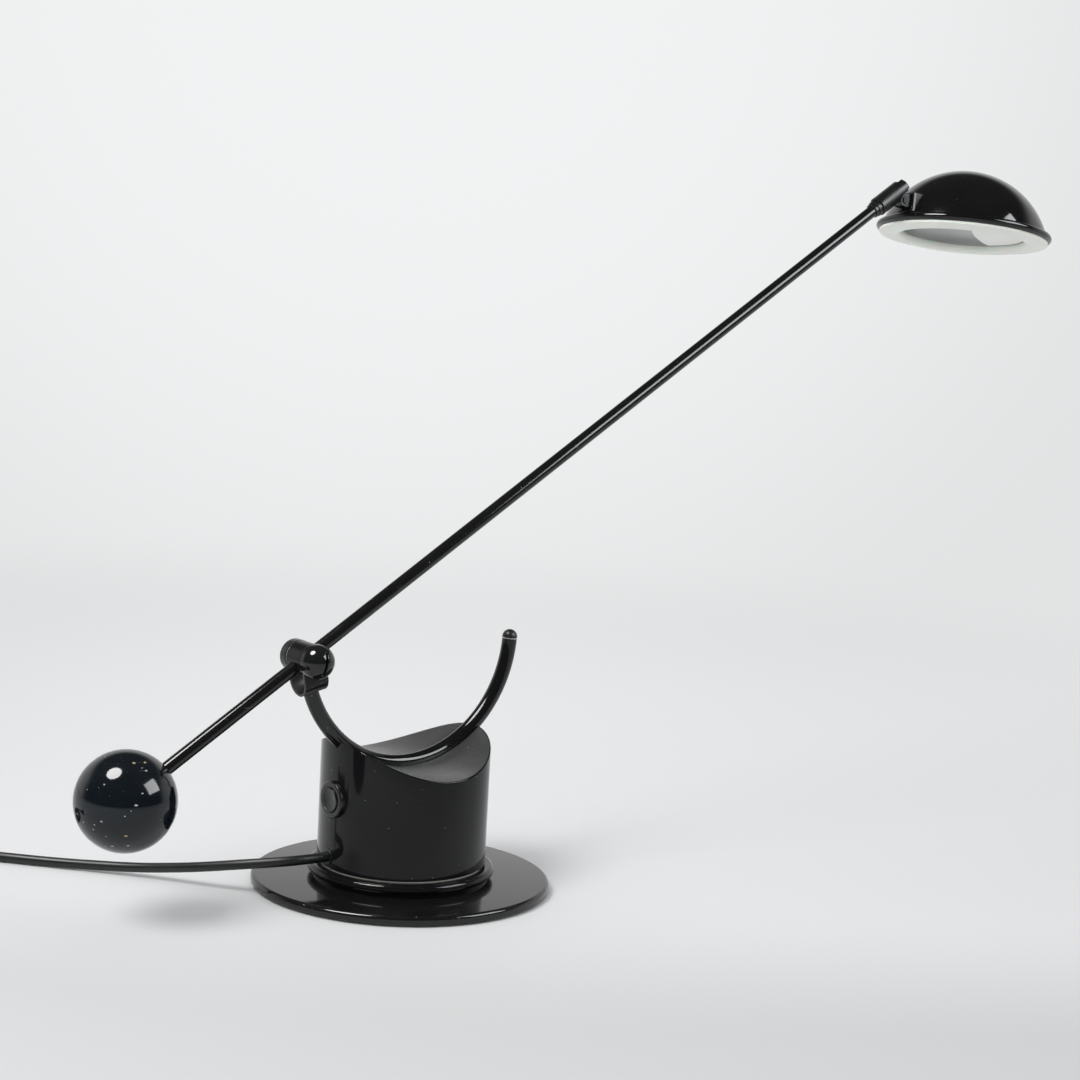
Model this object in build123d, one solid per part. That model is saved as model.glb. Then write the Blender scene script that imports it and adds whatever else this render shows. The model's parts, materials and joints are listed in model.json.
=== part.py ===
from build123d import *
from math import acos, asin, atan2, ceil, cos, degrees, dist, hypot, pi, radians, sin, sqrt, tan
import os

# A counterweight balance desk lamp: a round base, a turning drum with a saddle-shaped top, an arc that
# slides in the saddle, a straight arm that balances in a yoke on the arc, a steel ball and a domed head.
# Millimetres and degrees. Z is up, the floor is z = 0, the drum turns about the Z axis, and the arc and
# the arm move in the plane y = 0, with the head towards +X.

# ---------------------------------------------------------------- base
FOOT_R = 85.0
FOOT_T = 1.0
PLATE_R = 91.0
PLATE_T = 5.4
PLATE_TOP_ROUND = 2.4
PLATE_BOTTOM_ROUND = 1.0
NUT_POCKET_R = 11.0
NUT_POCKET_DEPTH = 3.6
COLLAR_R = 53.6
COLLAR_BORE_R = 46.0
COLLAR_H = 8.2
COLLAR_BEAD_R = 3.0
COLLAR_BEAD_OUT = 0.4  # the bead's centre stands this far outside the collar's wall
COLLAR_SCREWS = 3
COLLAR_SCREW_R = 2.0
COLLAR_SCREW_HEAD_R = 3.7
COLLAR_SCREW_L = 9.5
SLIDE_RING_T = 0.6

# ---------------------------------------------------------------- drum
DRUM_R = 51.4
DRUM_WALL = 2.4
DRUM_EDGE_ROUND = 0.8
FLOOR_FLANGE_R = 50.2
FLOOR_FLANGE_T = 0.8
FLOOR_SPIGOT_T = 2.0
POST_R = 4.0
POST_H = 12.0
FLOOR_SCREW_R = 1.5
FLOOR_SCREW_HEAD_R = 2.8
NIPPLE_R = 5.0
NIPPLE_BORE_R = 3.5
NIPPLE_ABOVE = 4.8
NUT_ACROSS = 17.0
NUT_T = 3.0
NUT_WASHER_T = 0.8

# ---------------------------------------------------------------- saddle and arc
SADDLE_LOW = 75.2  # the height of the saddle's lowest point
ARC_R = 75.5  # of the tube's centre line
ARC_TUBE_R = 4.65
ARC_TUBE_WALL = 1.35
SADDLE_BELOW_ARC = 1.2  # from the tube's centre line down to the saddle
SADDLE_T = 6.5
GROOVE_CLEARANCE = 0.35
ARC_END_ANGLE = -3.7  # where the tube ends, under the rubber cap
SLOT_W = 3.2
SLOT_FROM = 250.0
SLOT_TO = 316.0
CAP_R = 4.7
CAP_NECK_H = 0.6
CAP_SKIRT_H = 0.5
PAD_HALF_ANGLE = 7.0
PAD_CLEARANCE = 0.05
STUD_R = 1.25
STUD_HEAD_R = 2.1
STUD_HEAD_T = 1.2
STUD_BELOW = 11.0  # below the saddle's outer face
CLAMP_NUT_ACROSS = 6.0
CLAMP_NUT_T = 2.6
CLAMP_WASHER_R = 4.5
CLAMP_WASHER_T = 0.7
CLAMP_WASHERS = 3

# ---------------------------------------------------------------- pivot
PIVOT_INSIDE_ARC = 0.4  # the pivot's axis lies this far inside the tube's centre line
PIVOT_ANGLE = 184.66
BARREL_R = 9.7
BARREL_HALF = 6.8
JOURNAL_R = 5.5
JOURNAL_BEYOND = 0.25  # past the strap's outer face
RUNNING_FIT = 0.05
STRAP_T = 1.5
STRAP_W = 16.0
STRAP_DROP = 12.7  # from the pivot's axis to the centre of the strap's bend
FRICTION_WASHER_T = 0.3
SPRING_WASHER_T = 0.5
KNOB_R = 10.35
KNOB_SKIRT = 2.5
KNOB_SLOT_W = 1.8
KNOB_SLOT_DEPTH = 3.0
KNOB_SLOT_LEAN = 8.0
STUB_R = 3.0
STUB_HOLE_FLOOR = 4.5  # from the middle of the barrel
REAR_CAP_L = 5.5
REAR_CAP_ROUND = 1.5
SET_SCREW_R = 2.0

# ---------------------------------------------------------------- arm
ARM_LEAN = 31.81  # above the horizontal
ARM_R = 4.0
ARM_WALL = 1.0
ARM_FRONT_L = 548.0  # from the pivot to the tube's upper end
BALL_R = 29.15
BALL_REACH = 137.2  # from the pivot to the ball's centre
BALL_SOCKET = 2.9
BALL_STUD_R = 2.4
BALL_STUD_IN = 15.0
STOP_RING_R = 4.9
STOP_RING_W = 2.8

# ---------------------------------------------------------------- head joint
SLEEVE_GRIP = 22.4  # the length of the tube that the sleeve covers
SLEEVE_NECK_R = 5.5
SLEEVE_NECK_L = 3.4
SLEEVE_R = 6.5
SLEEVE_BEYOND = 9.0  # past the tube's end
SLEEVE_NOTCH_BEYOND = 4.6
SLEEVE_NOTCH_W = 2.4
SLEEVE_NOTCH_DEPTH = 1.8
HEAD_ROLL = -7.27  # the sleeve's turn about the arm
HEAD_PITCH = 9.02  # the shade's forward tilt
PIN_BEYOND = 2.5  # along the arm, past the tube's end
PIN_BELOW = 7.0  # below the arm's centre line
PIN_R = 1.5
PIN_HEAD_R = 2.5
PIN_HEAD_T = 0.8
TONGUE_T = 5.0
TONGUE_R = 4.3
EAR_T = 1.8
EAR_R = 4.5
EAR_CLEARANCE = 0.1
RELIEF_R = 9.0

# ---------------------------------------------------------------- head
PIN_TO_AXIS = 61.3  # from the pin to the shade's axis
PIN_ABOVE_RIM = 15.1  # from the underside's outer edge up to the pin
SHADE_R = 60.6
SHADE_WALL = 1.4
SHADE_CENTRE_DROP = 13.76  # the sphere's centre, below the underside's outer edge
BEAD_R = 2.6
BEAD_RING_R = 58.3
BEAD_UP = 4.4
BRACKET_W = 16.0
BRACKET_FACE = 56.4  # from the shade's axis to the bracket's face
BRACKET_FROM = 7.6
BRACKET_TO = 21.6
BRACKET_ROUND = 1.0
RIVET_R = 1.6
RIVET_HEAD_R = 3.0
RIVET_SPACING = 8.0
UNDERSIDE_R = 58.6
OPENING_R = 43.0
UNDERSIDE_FALL = 3.2
UNDERSIDE_T = 1.5
OPENING_WALL = 6.3
SNAP_R = 55.3
SNAP_T = 1.3
SNAP_TOP = 4.6
REFLECTOR_T = 1.0
REFLECTOR_MOUTH_R = 42.4
REFLECTOR_FLANGE_R = 50.0
REFLECTOR_MID_R = 34.0
REFLECTOR_MID_UP = 22.0
REFLECTOR_TOP_R = 12.0
REFLECTOR_TOP_UP = 31.0
SHELF_FROM = 13.0  # the lamp holder's shelf starts this far from the axis
SHELF_T = 1.4
SHELF_BULGE = 6.0
HOLDER_L = 17.0
HOLDER_W = 24.0
HOLDER_H = 13.0
BULB_R = 4.5
BULB_L = 24.0

# ---------------------------------------------------------------- switch
SWITCH_BELOW_SADDLE = 16.7  # below the saddle's lowest point
BEZEL_R = 11.2
BEZEL_STANDS = 2.4
BEZEL_ROUND = 1.0
BEZEL_BORE_R = 7.7
BARREL_OF_SWITCH_R = 9.4
SWITCH_DEPTH = 14.0
BUTTON_R = 7.5
BUTTON_STANDS = 0.9  # past the bezel's lip
BUTTON_DISH = 0.8
BUTTON_TRAVEL = 2.0
SWITCH_BODY_L = 12.0
SWITCH_BODY_R = 8.6

# ---------------------------------------------------------------- transformer
CORE_W = 48.0
CORE_D = 30.0
CORE_H = 30.0
CORE_LEG = 14.0
CORE_WINDOW_W = 8.0
CORE_WINDOW_H = 16.0
COIL_OVERHANG = 7.0
WINDING_CLEARANCE = 0.2
CRADLE_T = 1.2
CRADLE_H = 8.4
CRADLE_FOOT = 9.0
CRADLE_W = 26.0
TERMINAL_L = 18.0
TERMINAL_W = 9.0
TERMINAL_H = 10.0
TERMINAL_AT = (0.0, -36.0)

# ---------------------------------------------------------------- mains cord
CORD_D = 6.0
CORD_EXIT_AZIMUTH = 176.0
CORD_EXIT_UP = 22.5
GROMMET_R = 4.0
GROMMET_LIP_R = 4.8
GROMMET_LIP_T = 0.6
GROMMET_DEPTH = 4.0
CORD_STRAIGHT_OUT = 24.5  # the cord's first run, square to the drum
ROUTE = [
    (-97.0, 24.5, 18.5),
    (-114.5, 52.0, 12.0),
    (-132.5, 87.0, 5.2),
    (-166.0, 126.0, 3.0),
]
COIL_RUN_IN = 36.0  # the straight run before the coil
COIL_CENTRE = (-262.5, 164.0)
COIL_R = 46.0
COIL_START = 42.0
COIL_TURNS = 6.25
COIL_GAP_BESIDE = 0.7
COIL_GAP_ABOVE = 0.5
COIL_FALL_ZONE = 0.25  # turns on each side of the reversal, in which the cord climbs a layer
PLUG_L = 35.0
PLUG_W = 26.0
PLUG_T = 13.7
PLUG_NOSE_R = 5.0
PLUG_LEAD_RUNS = (18.0, 26.0, 18.0)
PLUG_LEAD_TURN = 12.0
PLUG_PIN_R = 2.0
PLUG_PIN_L = 19.0
PLUG_PIN_SPACING = 19.0

# ---------------------------------------------------------------- derived places
PLATE_TOP = FOOT_T + PLATE_T
COLLAR_TOP = PLATE_TOP + COLLAR_H
FLOOR_BOTTOM = COLLAR_TOP + SLIDE_RING_T
DRUM_BOTTOM = FLOOR_BOTTOM + FLOOR_FLANGE_T
FLOOR_TOP = DRUM_BOTTOM + FLOOR_SPIGOT_T
DRUM_BORE_R = DRUM_R - DRUM_WALL
SADDLE_R = ARC_R + SADDLE_BELOW_ARC
ARC_HEIGHT = SADDLE_LOW + SADDLE_R
ARC_CENTRE = Vector(0, 0, ARC_HEIGHT)
SWITCH_UP = SADDLE_LOW - SWITCH_BELOW_SADDLE
PIVOT_RADIUS = ARC_R - PIVOT_INSIDE_ARC
PIVOT = ARC_CENTRE + Vector(
    PIVOT_RADIUS * cos(radians(PIVOT_ANGLE)), 0, PIVOT_RADIUS * sin(radians(PIVOT_ANGLE))
)
STRAP_OUT_R = BARREL_HALF + FRICTION_WASHER_T + STRAP_T
STRAP_IN_R = STRAP_OUT_R - STRAP_T
JOURNAL_END = STRAP_OUT_R + JOURNAL_BEYOND
ARM_DIR = Vector(cos(radians(ARM_LEAN)), 0, sin(radians(ARM_LEAN)))
ACROSS = Vector(0, 1, 0)
SLEEVE_START = ARM_FRONT_L - SLEEVE_GRIP
SLEEVE_END = ARM_FRONT_L + SLEEVE_BEYOND
SLEEVE_NOTCH_AT = ARM_FRONT_L + SLEEVE_NOTCH_BEYOND
PIN_ALONG = ARM_FRONT_L + PIN_BEYOND
ARM_UP = Vector(-sin(radians(ARM_LEAN)), 0, cos(radians(ARM_LEAN)))
TUBE_LOW = -(BALL_REACH - BALL_R + BALL_SOCKET)
CORD_R = CORD_D / 2
COIL_PITCH = CORD_D + COIL_GAP_BESIDE
COIL_LAYER = CORD_D + COIL_GAP_ABOVE
EXIT_DIR = Vector(cos(radians(CORD_EXIT_AZIMUTH)), sin(radians(CORD_EXIT_AZIMUTH)), 0)
CORD_EXIT = EXIT_DIR * (DRUM_R + GROMMET_LIP_T) + Vector(0, 0, CORD_EXIT_UP)


# ---------------------------------------------------------------- helpers
def ring(outer, inner, low, high):
    """A flat ring about the Z axis, from one height to another."""
    align = (Align.CENTER, Align.CENTER, Align.MIN)
    body = Cylinder(outer, high - low, align=align)
    if inner > 0:
        body -= Cylinder(inner, high - low, align=align)
    return Pos(0, 0, low) * body


def rod(radius, low, high):
    """A round bar about the Z axis."""
    return ring(radius, 0, low, high)


def cross_bar(radius, half_length, centre):
    """A round bar along Y."""
    return Pos(*centre) * Rot(90, 0, 0) * Cylinder(radius, 2 * half_length)


def y_ring(outer, inner, low, high):
    """A flat ring about the Y axis through the origin, from y = low to y = high."""
    body = Rot(-90, 0, 0) * ring(outer, inner, low, high)
    return body


def lathe(points):
    """A solid turned about Z from a closed outline of (radius, height) points."""
    outline = Polyline(*[(r, 0, z) for r, z in points], close=True)
    return revolve(make_face(outline), Axis.Z)


def hexagon(across, low, high, bore):
    """A hexagonal nut about the Z axis."""
    nut = extrude(RegularPolygon(across / 2, 6, major_radius=False), high - low)
    return Pos(0, 0, low) * nut - rod(bore, low - 1, high + 1)


def countersunk(radius, head_radius, low, high):
    """A countersunk screw that points up, with its head's flat face at the low end."""
    head_h = head_radius - radius
    head = Pos(0, 0, low) * Cone(
        head_radius, radius, head_h, align=(Align.CENTER, Align.CENTER, Align.MIN)
    )
    return head + rod(radius, low, high)


def around(shape, count, radius, start=90.0):
    """Copies of a shape about the Z axis."""
    return [Rot(0, 0, start + 360 * k / count) * Pos(radius, 0, 0) * shape for k in range(count)]


def arc_point(angle, radius=ARC_R):
    """A point in the plane y = 0, by its angle about the arc's axis."""
    return ARC_CENTRE + Vector(radius * cos(radians(angle)), 0, radius * sin(radians(angle)))


def arc_plane(angle):
    """The plane across the arc at an angle, its x pointing outwards and its z along the arc."""
    out = Vector(cos(radians(angle)), 0, sin(radians(angle)))
    along = Vector(-sin(radians(angle)), 0, cos(radians(angle)))
    return Plane(origin=arc_point(angle), x_dir=out, z_dir=along)


def arc_sweep(sketch, start, end):
    """A sketch drawn across the arc, turned about the arc's axis."""
    face = arc_plane(start) * sketch
    return revolve(face, Axis(ARC_CENTRE, (0, -1, 0)), end - start)


def arc_ring(radius):
    """A whole ring of round section on the arc's centre line."""
    return Pos(*ARC_CENTRE) * Rot(90, 0, 0) * Torus(ARC_R, radius)


def saddle_bar(radius):
    """The cylinder about the arc's axis that shapes the saddle."""
    return cross_bar(radius, 2 * DRUM_R, ARC_CENTRE)


# ---------------------------------------------------------------- base
def foot_pad():
    return rod(FOOT_R, 0, FOOT_T)


def base_plate():
    plate = rod(PLATE_R, FOOT_T, PLATE_TOP)
    rims = plate.edges().group_by(Axis.Z)
    plate = fillet(rims[-1], PLATE_TOP_ROUND)
    plate = fillet(plate.edges().group_by(Axis.Z)[0], PLATE_BOTTOM_ROUND)
    plate -= rod(NIPPLE_R + RUNNING_FIT, FOOT_T - 1, PLATE_TOP + 1)
    plate -= rod(NUT_POCKET_R, FOOT_T - 1, FOOT_T + NUT_POCKET_DEPTH)
    for cut in around(
        countersunk(COLLAR_SCREW_R + RUNNING_FIT, COLLAR_SCREW_HEAD_R + RUNNING_FIT, FOOT_T, PLATE_TOP + 1),
        COLLAR_SCREWS,
        collar_screw_circle(),
    ):
        plate -= cut
    return plate


def collar_screw_circle():
    return (COLLAR_R + COLLAR_BORE_R) / 2


def base_collar():
    wall = ring(COLLAR_R, COLLAR_BORE_R, PLATE_TOP, COLLAR_TOP)
    bead = Pos(0, 0, COLLAR_TOP - COLLAR_BEAD_R) * Torus(COLLAR_R + COLLAR_BEAD_OUT, COLLAR_BEAD_R)
    collar = wall + (bead - rod(COLLAR_BORE_R + 1, 0, COLLAR_TOP + 1))
    tap = rod(COLLAR_SCREW_R + RUNNING_FIT, PLATE_TOP - 1, FOOT_T + COLLAR_SCREW_L + 0.5)
    for cut in around(tap, COLLAR_SCREWS, collar_screw_circle()):
        collar -= cut
    return collar


def collar_screws():
    screw = countersunk(COLLAR_SCREW_R, COLLAR_SCREW_HEAD_R, FOOT_T, FOOT_T + COLLAR_SCREW_L)
    return around(screw, COLLAR_SCREWS, collar_screw_circle())


def slide_ring():
    return ring(FLOOR_FLANGE_R - 0.2, COLLAR_BORE_R + 0.4, COLLAR_TOP, FLOOR_BOTTOM)


def swivel_nipple():
    return ring(NIPPLE_R, NIPPLE_BORE_R, FOOT_T + 0.3, FLOOR_TOP + NUT_WASHER_T + NUT_T + 1)


def swivel_nuts():
    bore = NIPPLE_R + RUNNING_FIT
    lower_top = FOOT_T + NUT_POCKET_DEPTH
    lower = hexagon(NUT_ACROSS, lower_top - NUT_T, lower_top, bore)
    upper_low = FLOOR_TOP + NUT_WASHER_T
    upper = hexagon(NUT_ACROSS, upper_low, upper_low + NUT_T, bore)
    return [lower, upper]


def swivel_washer():
    return ring(NUT_ACROSS / 2 + 2.5, NIPPLE_R + RUNNING_FIT, FLOOR_TOP, FLOOR_TOP + NUT_WASHER_T)


# ---------------------------------------------------------------- drum
def post_circle():
    return DRUM_BORE_R - POST_R + 0.4


def drum_shell():
    shell = rod(DRUM_R, DRUM_BOTTOM, ARC_HEIGHT) - saddle_bar(SADDLE_R)
    rim = shell.edges().filter_by(lambda e: e.center().Z > DRUM_BOTTOM + 1 and e.length > DRUM_R)
    shell = fillet(rim, DRUM_EDGE_ROUND)
    hollow = rod(DRUM_BORE_R, DRUM_BOTTOM - 1, ARC_HEIGHT) - saddle_bar(SADDLE_R + SADDLE_T)
    hollow = hollow.solids().sort_by(Axis.Z)[0]
    shell -= hollow
    posts = around(rod(POST_R, FLOOR_TOP, FLOOR_TOP + POST_H), 3, post_circle(), start=60)
    wall = rod(DRUM_R - DRUM_WALL / 2, FLOOR_TOP, FLOOR_TOP + POST_H)
    for post in posts:
        shell += post & wall
    tap = rod(FLOOR_SCREW_R + RUNNING_FIT, FLOOR_TOP - 1, FLOOR_TOP + POST_H - 2)
    for cut in around(tap, 3, post_circle(), start=60):
        shell -= cut
    shell -= arc_ring(ARC_TUBE_R + GROOVE_CLEARANCE)
    shell -= rod(STUD_R + 0.15, SADDLE_LOW - SADDLE_T - 1, SADDLE_LOW + 1)
    shell -= Pos(-DRUM_R, 0, SWITCH_UP) * Rot(0, 90, 0) * Cylinder(BARREL_OF_SWITCH_R + RUNNING_FIT, 4 * DRUM_WALL)
    shell -= cord_hole(GROMMET_R + RUNNING_FIT)
    return shell


def cord_hole(radius):
    """The bar that cuts the cord's hole through the drum's wall."""
    plane = Plane(origin=EXIT_DIR * (DRUM_R - 3 * DRUM_WALL) + Vector(0, 0, CORD_EXIT_UP), z_dir=EXIT_DIR)
    return plane * rod(radius, 0, 5 * DRUM_WALL)


def drum_floor():
    floor = rod(FLOOR_FLANGE_R, FLOOR_BOTTOM, DRUM_BOTTOM)
    floor += rod(DRUM_BORE_R - 0.1, DRUM_BOTTOM, FLOOR_TOP)
    floor -= rod(NIPPLE_R + RUNNING_FIT, FLOOR_BOTTOM - 1, FLOOR_TOP + 1)
    cut = countersunk(FLOOR_SCREW_R + RUNNING_FIT, FLOOR_SCREW_HEAD_R + RUNNING_FIT, FLOOR_BOTTOM, FLOOR_TOP + 1)
    for hole in around(cut, 3, post_circle(), start=60):
        floor -= hole
    return floor


def floor_screws():
    screw = countersunk(FLOOR_SCREW_R, FLOOR_SCREW_HEAD_R, FLOOR_BOTTOM, FLOOR_TOP + POST_H - 3)
    return around(screw, 3, post_circle(), start=60)


def slide_pad():
    outer = ARC_TUBE_R + GROOVE_CLEARANCE - 0.02
    inner = ARC_TUBE_R + PAD_CLEARANCE
    section = Circle(outer) - Circle(inner) - Pos(-outer, 0) * Rectangle(2 * outer, 4 * outer)
    pad = arc_sweep(section & (Pos(outer, 0) * Rectangle(2 * outer - 3, 4 * outer)), 270 - PAD_HALF_ANGLE, 270 + PAD_HALF_ANGLE)
    return pad - rod(STUD_R + 0.15, 0, ARC_HEIGHT)


def clamp_stud():
    head_low = ARC_HEIGHT - ARC_R - sqrt((ARC_TUBE_R - ARC_TUBE_WALL) ** 2 - STUD_HEAD_R**2) + 0.25
    head = rod(STUD_HEAD_R, head_low, head_low + STUD_HEAD_T)
    return head + rod(STUD_R, SADDLE_LOW - STUD_BELOW, head_low + 0.5)


def clamp_stack_top():
    return ARC_HEIGHT - SADDLE_R - SADDLE_T


def clamp_washers():
    top = clamp_stack_top()
    step = CLAMP_WASHER_T
    return [
        ring(CLAMP_WASHER_R, STUD_R + RUNNING_FIT, top - (k + 1) * step, top - k * step)
        for k in range(CLAMP_WASHERS)
    ]


def clamp_nut():
    high = clamp_stack_top() - CLAMP_WASHERS * CLAMP_WASHER_T
    return hexagon(CLAMP_NUT_ACROSS, high - CLAMP_NUT_T, high, STUD_R + RUNNING_FIT)


# ---------------------------------------------------------------- transformer
def core_low():
    return FLOOR_TOP + CRADLE_H


def transformer_cradle():
    outer = Box(CORE_W, CRADLE_W, CRADLE_H, align=(Align.CENTER, Align.CENTER, Align.MIN))
    inner = Box(CORE_W - 2 * CRADLE_T, CRADLE_W + 1, CRADLE_H - CRADLE_T, align=(Align.CENTER, Align.CENTER, Align.MIN))
    cradle = outer - inner
    foot = Box(CRADLE_FOOT, CRADLE_W, CRADLE_T, align=(Align.CENTER, Align.CENTER, Align.MIN))
    for side in (-1, 1):
        cradle += Pos(side * (CORE_W / 2 + CRADLE_FOOT / 2 - CRADLE_T), 0, 0) * foot
    return Pos(0, 0, FLOOR_TOP) * cradle


def transformer_core():
    middle = core_low() + CORE_H / 2
    core = Pos(0, 0, middle) * Box(CORE_W, CORE_D, CORE_H)
    for side in (-1, 1):
        at = side * (CORE_LEG + CORE_WINDOW_W) / 2
        core -= Pos(at, 0, middle) * Box(CORE_WINDOW_W, CORE_D + 1, CORE_WINDOW_H)
    return core


def transformer_coil():
    middle = core_low() + CORE_H / 2
    gap = 2 * WINDING_CLEARANCE
    outer = Box(CORE_LEG + 2 * CORE_WINDOW_W - gap, CORE_D + 2 * COIL_OVERHANG, CORE_WINDOW_H - gap)
    outer = fillet(outer.edges().filter_by(Axis.Z), 3.0)
    return Pos(0, 0, middle) * (outer - Box(CORE_LEG + gap, CORE_D + gap, CORE_WINDOW_H))


def terminal_block():
    block = Box(TERMINAL_L, TERMINAL_W, TERMINAL_H, align=(Align.CENTER, Align.CENTER, Align.MIN))
    block = fillet(block.edges().group_by(Axis.Z)[-1], 1.0)
    for side in (-1, 1):
        at = side * TERMINAL_L / 4
        block -= Pos(at, 0, TERMINAL_H / 2) * Rot(90, 0, 0) * Cylinder(1.6, TERMINAL_W + 1)
        block -= Pos(at, 0, TERMINAL_H - 3) * rod(1.4, 0, 5)
    return Pos(*TERMINAL_AT, FLOOR_TOP) * block


# ---------------------------------------------------------------- switch
def switch_place(shape):
    """Puts a shape drawn about Z on the drum's flank, its z pointing out of the drum."""
    return Pos(-DRUM_R, 0, SWITCH_UP) * Rot(0, -90, 0) * shape


def drum_round():
    """The drum's outer surface as a bar, for what seats on it."""
    return rod(DRUM_R, DRUM_BOTTOM, ARC_HEIGHT)


def switch_bezel():
    flange = rod(BEZEL_R, -BEZEL_STANDS, BEZEL_STANDS)
    flange = fillet(flange.edges().group_by(Axis.Z)[-1], BEZEL_ROUND)
    bezel = switch_place(flange) - drum_round()
    bezel += switch_place(rod(BARREL_OF_SWITCH_R, -SWITCH_DEPTH, BEZEL_STANDS - 1.2))
    bore = rod(BEZEL_BORE_R, -SWITCH_DEPTH - 1, BEZEL_STANDS + 1)
    return bezel - switch_place(bore)


def switch_button():
    top = BEZEL_STANDS + BUTTON_STANDS
    button = rod(BUTTON_R, -SWITCH_DEPTH / 2, top)
    button = fillet(button.edges().group_by(Axis.Z)[-1], 0.7)
    dish_r = (BUTTON_R**2 + BUTTON_DISH**2) / (2 * BUTTON_DISH)
    button -= Pos(0, 0, top + dish_r - BUTTON_DISH) * Sphere(dish_r)
    return switch_place(button)


def switch_body():
    back = -SWITCH_DEPTH
    body = rod(SWITCH_BODY_R, back - SWITCH_BODY_L, back)
    body += rod(BEZEL_BORE_R - 0.3, back, -SWITCH_DEPTH / 2 - BUTTON_TRAVEL - 0.3)
    for side in (-1, 1):
        tab = Pos(0, side * 4, back - SWITCH_BODY_L - 2.5) * Box(4, 0.8, 5)
        body += tab
    return switch_place(body)


# ---------------------------------------------------------------- arc
def yoke_plane():
    """The yoke's own frame at the pivot: z points away from the arc tube's end, y across."""
    away = PIVOT - arc_point(yoke_angle())
    away = away.normalized()
    return Plane(origin=PIVOT, x_dir=Vector(away.Z, 0, -away.X), z_dir=away)


def yoke_angle():
    """The arc's angle under the yoke, where the tube's centre line meets the strap's bend."""
    reach = STRAP_DROP + STRAP_OUT_R
    turn = 2 * degrees(asin(reach / (2 * ARC_R)))
    return PIVOT_ANGLE + turn


def bend_bar(radius):
    """The bar that fills the strap's bend, along the strap's width."""
    bar = Pos(0, 0, -STRAP_DROP) * Rot(0, 90, 0) * Cylinder(radius, 2 * STRAP_W)
    return yoke_plane() * bar


def yoke():
    half = STRAP_W / 2
    bend = Rot(0, 90, 0) * Cylinder(STRAP_OUT_R, STRAP_W) - Rot(0, 90, 0) * Cylinder(STRAP_IN_R, STRAP_W + 1)
    bend -= Pos(0, 0, STRAP_OUT_R) * Box(STRAP_W + 1, 3 * STRAP_OUT_R, 2 * STRAP_OUT_R)
    strap = Pos(0, 0, -STRAP_DROP) * bend
    for side in (-1, 1):
        low = STRAP_IN_R if side > 0 else -STRAP_OUT_R
        eye = y_ring(BARREL_R + 0.1, 0, low, low + STRAP_T)
        leg = Pos(0, low + STRAP_T / 2, -STRAP_DROP / 2) * Box(STRAP_W, STRAP_T, STRAP_DROP)
        strap += eye + leg
        strap -= y_ring(JOURNAL_R + RUNNING_FIT, 0, low - 1, low + STRAP_T + 1)
    strap -= Pos(0, 0, -STRAP_DROP - STRAP_OUT_R) * Cylinder(ARC_TUBE_R - ARC_TUBE_WALL, 4 * STRAP_T)
    return yoke_plane() * strap


def arc_tube():
    section = Circle(ARC_TUBE_R) - Circle(ARC_TUBE_R - ARC_TUBE_WALL)
    tube = arc_sweep(section, yoke_angle() - 2.5, 360 + ARC_END_ANGLE)
    slot = Pos(ARC_TUBE_R, 0) * Rectangle(2 * ARC_TUBE_R, SLOT_W)
    tube -= arc_sweep(slot, SLOT_FROM, SLOT_TO)
    tube -= bend_bar(STRAP_OUT_R)
    return tube.solids().sort_by(SortBy.VOLUME)[-1]


def end_cap():
    base = CAP_NECK_H + CAP_SKIRT_H
    cap = rod(ARC_TUBE_R - ARC_TUBE_WALL - 0.3, -5, 0.1) + rod(ARC_TUBE_R - 0.4, 0, CAP_NECK_H)
    cap += rod(CAP_R, CAP_NECK_H, base)
    dome = Pos(0, 0, base) * Sphere(CAP_R)
    cap += dome - rod(2 * CAP_R, base - 2 * CAP_R, base)
    return arc_plane(360 + ARC_END_ANGLE) * cap


# ---------------------------------------------------------------- pivot and arm
def at_pivot(shape):
    return Pos(*PIVOT) * shape


def arm_plane(along=0.0):
    """The plane across the arm, its z along the arm and its x pointing down from it."""
    return Plane(origin=PIVOT + ARM_DIR * along, x_dir=-ARM_UP, z_dir=ARM_DIR)


def pivot_barrel():
    barrel = y_ring(BARREL_R, 0, -BARREL_HALF, BARREL_HALF)
    barrel += y_ring(JOURNAL_R, 0, -JOURNAL_END, JOURNAL_END)
    for side in (-1, 1):
        low, high = sorted((side * STUB_HOLE_FLOOR, side * (JOURNAL_END + 1)))
        barrel -= y_ring(STUB_R, 0, low, high)
    barrel = at_pivot(barrel)
    barrel -= arm_plane() * Cylinder(ARM_R + RUNNING_FIT, 4 * BARREL_R)
    barrel -= set_screw_bar(SET_SCREW_R + RUNNING_FIT, 0, BARREL_R + 1)
    return barrel


def set_screw_bar(radius, low, high):
    """A bar square to the arm, from one distance below its centre line to another."""
    plane = Plane(origin=PIVOT, x_dir=ARM_DIR, z_dir=-ARM_UP)
    return plane * rod(radius, low, high)


def set_screw():
    screw = set_screw_bar(SET_SCREW_R, ARM_R + RUNNING_FIT, BARREL_R - 0.4)
    plane = Plane(origin=PIVOT - ARM_UP * (BARREL_R - 0.4), x_dir=ARM_DIR, z_dir=-ARM_UP)
    return screw - plane * (Pos(0, 0, -2) * extrude(RegularPolygon(1.0, 6), 3))


def friction_washers():
    inner = JOURNAL_R + RUNNING_FIT
    front = y_ring(BARREL_R - 0.3, inner, -STRAP_IN_R, -BARREL_HALF)
    rear = y_ring(BARREL_R - 0.3, inner, BARREL_HALF, STRAP_IN_R)
    outer = y_ring(BARREL_R - 0.3, inner, STRAP_OUT_R, STRAP_OUT_R + FRICTION_WASHER_T)
    return [at_pivot(w) for w in (front, rear, outer)]


def spring_washer():
    outer = -STRAP_OUT_R - SPRING_WASHER_T
    return at_pivot(y_ring(BARREL_R - 0.3, JOURNAL_R + RUNNING_FIT, outer, -STRAP_OUT_R))


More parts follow.
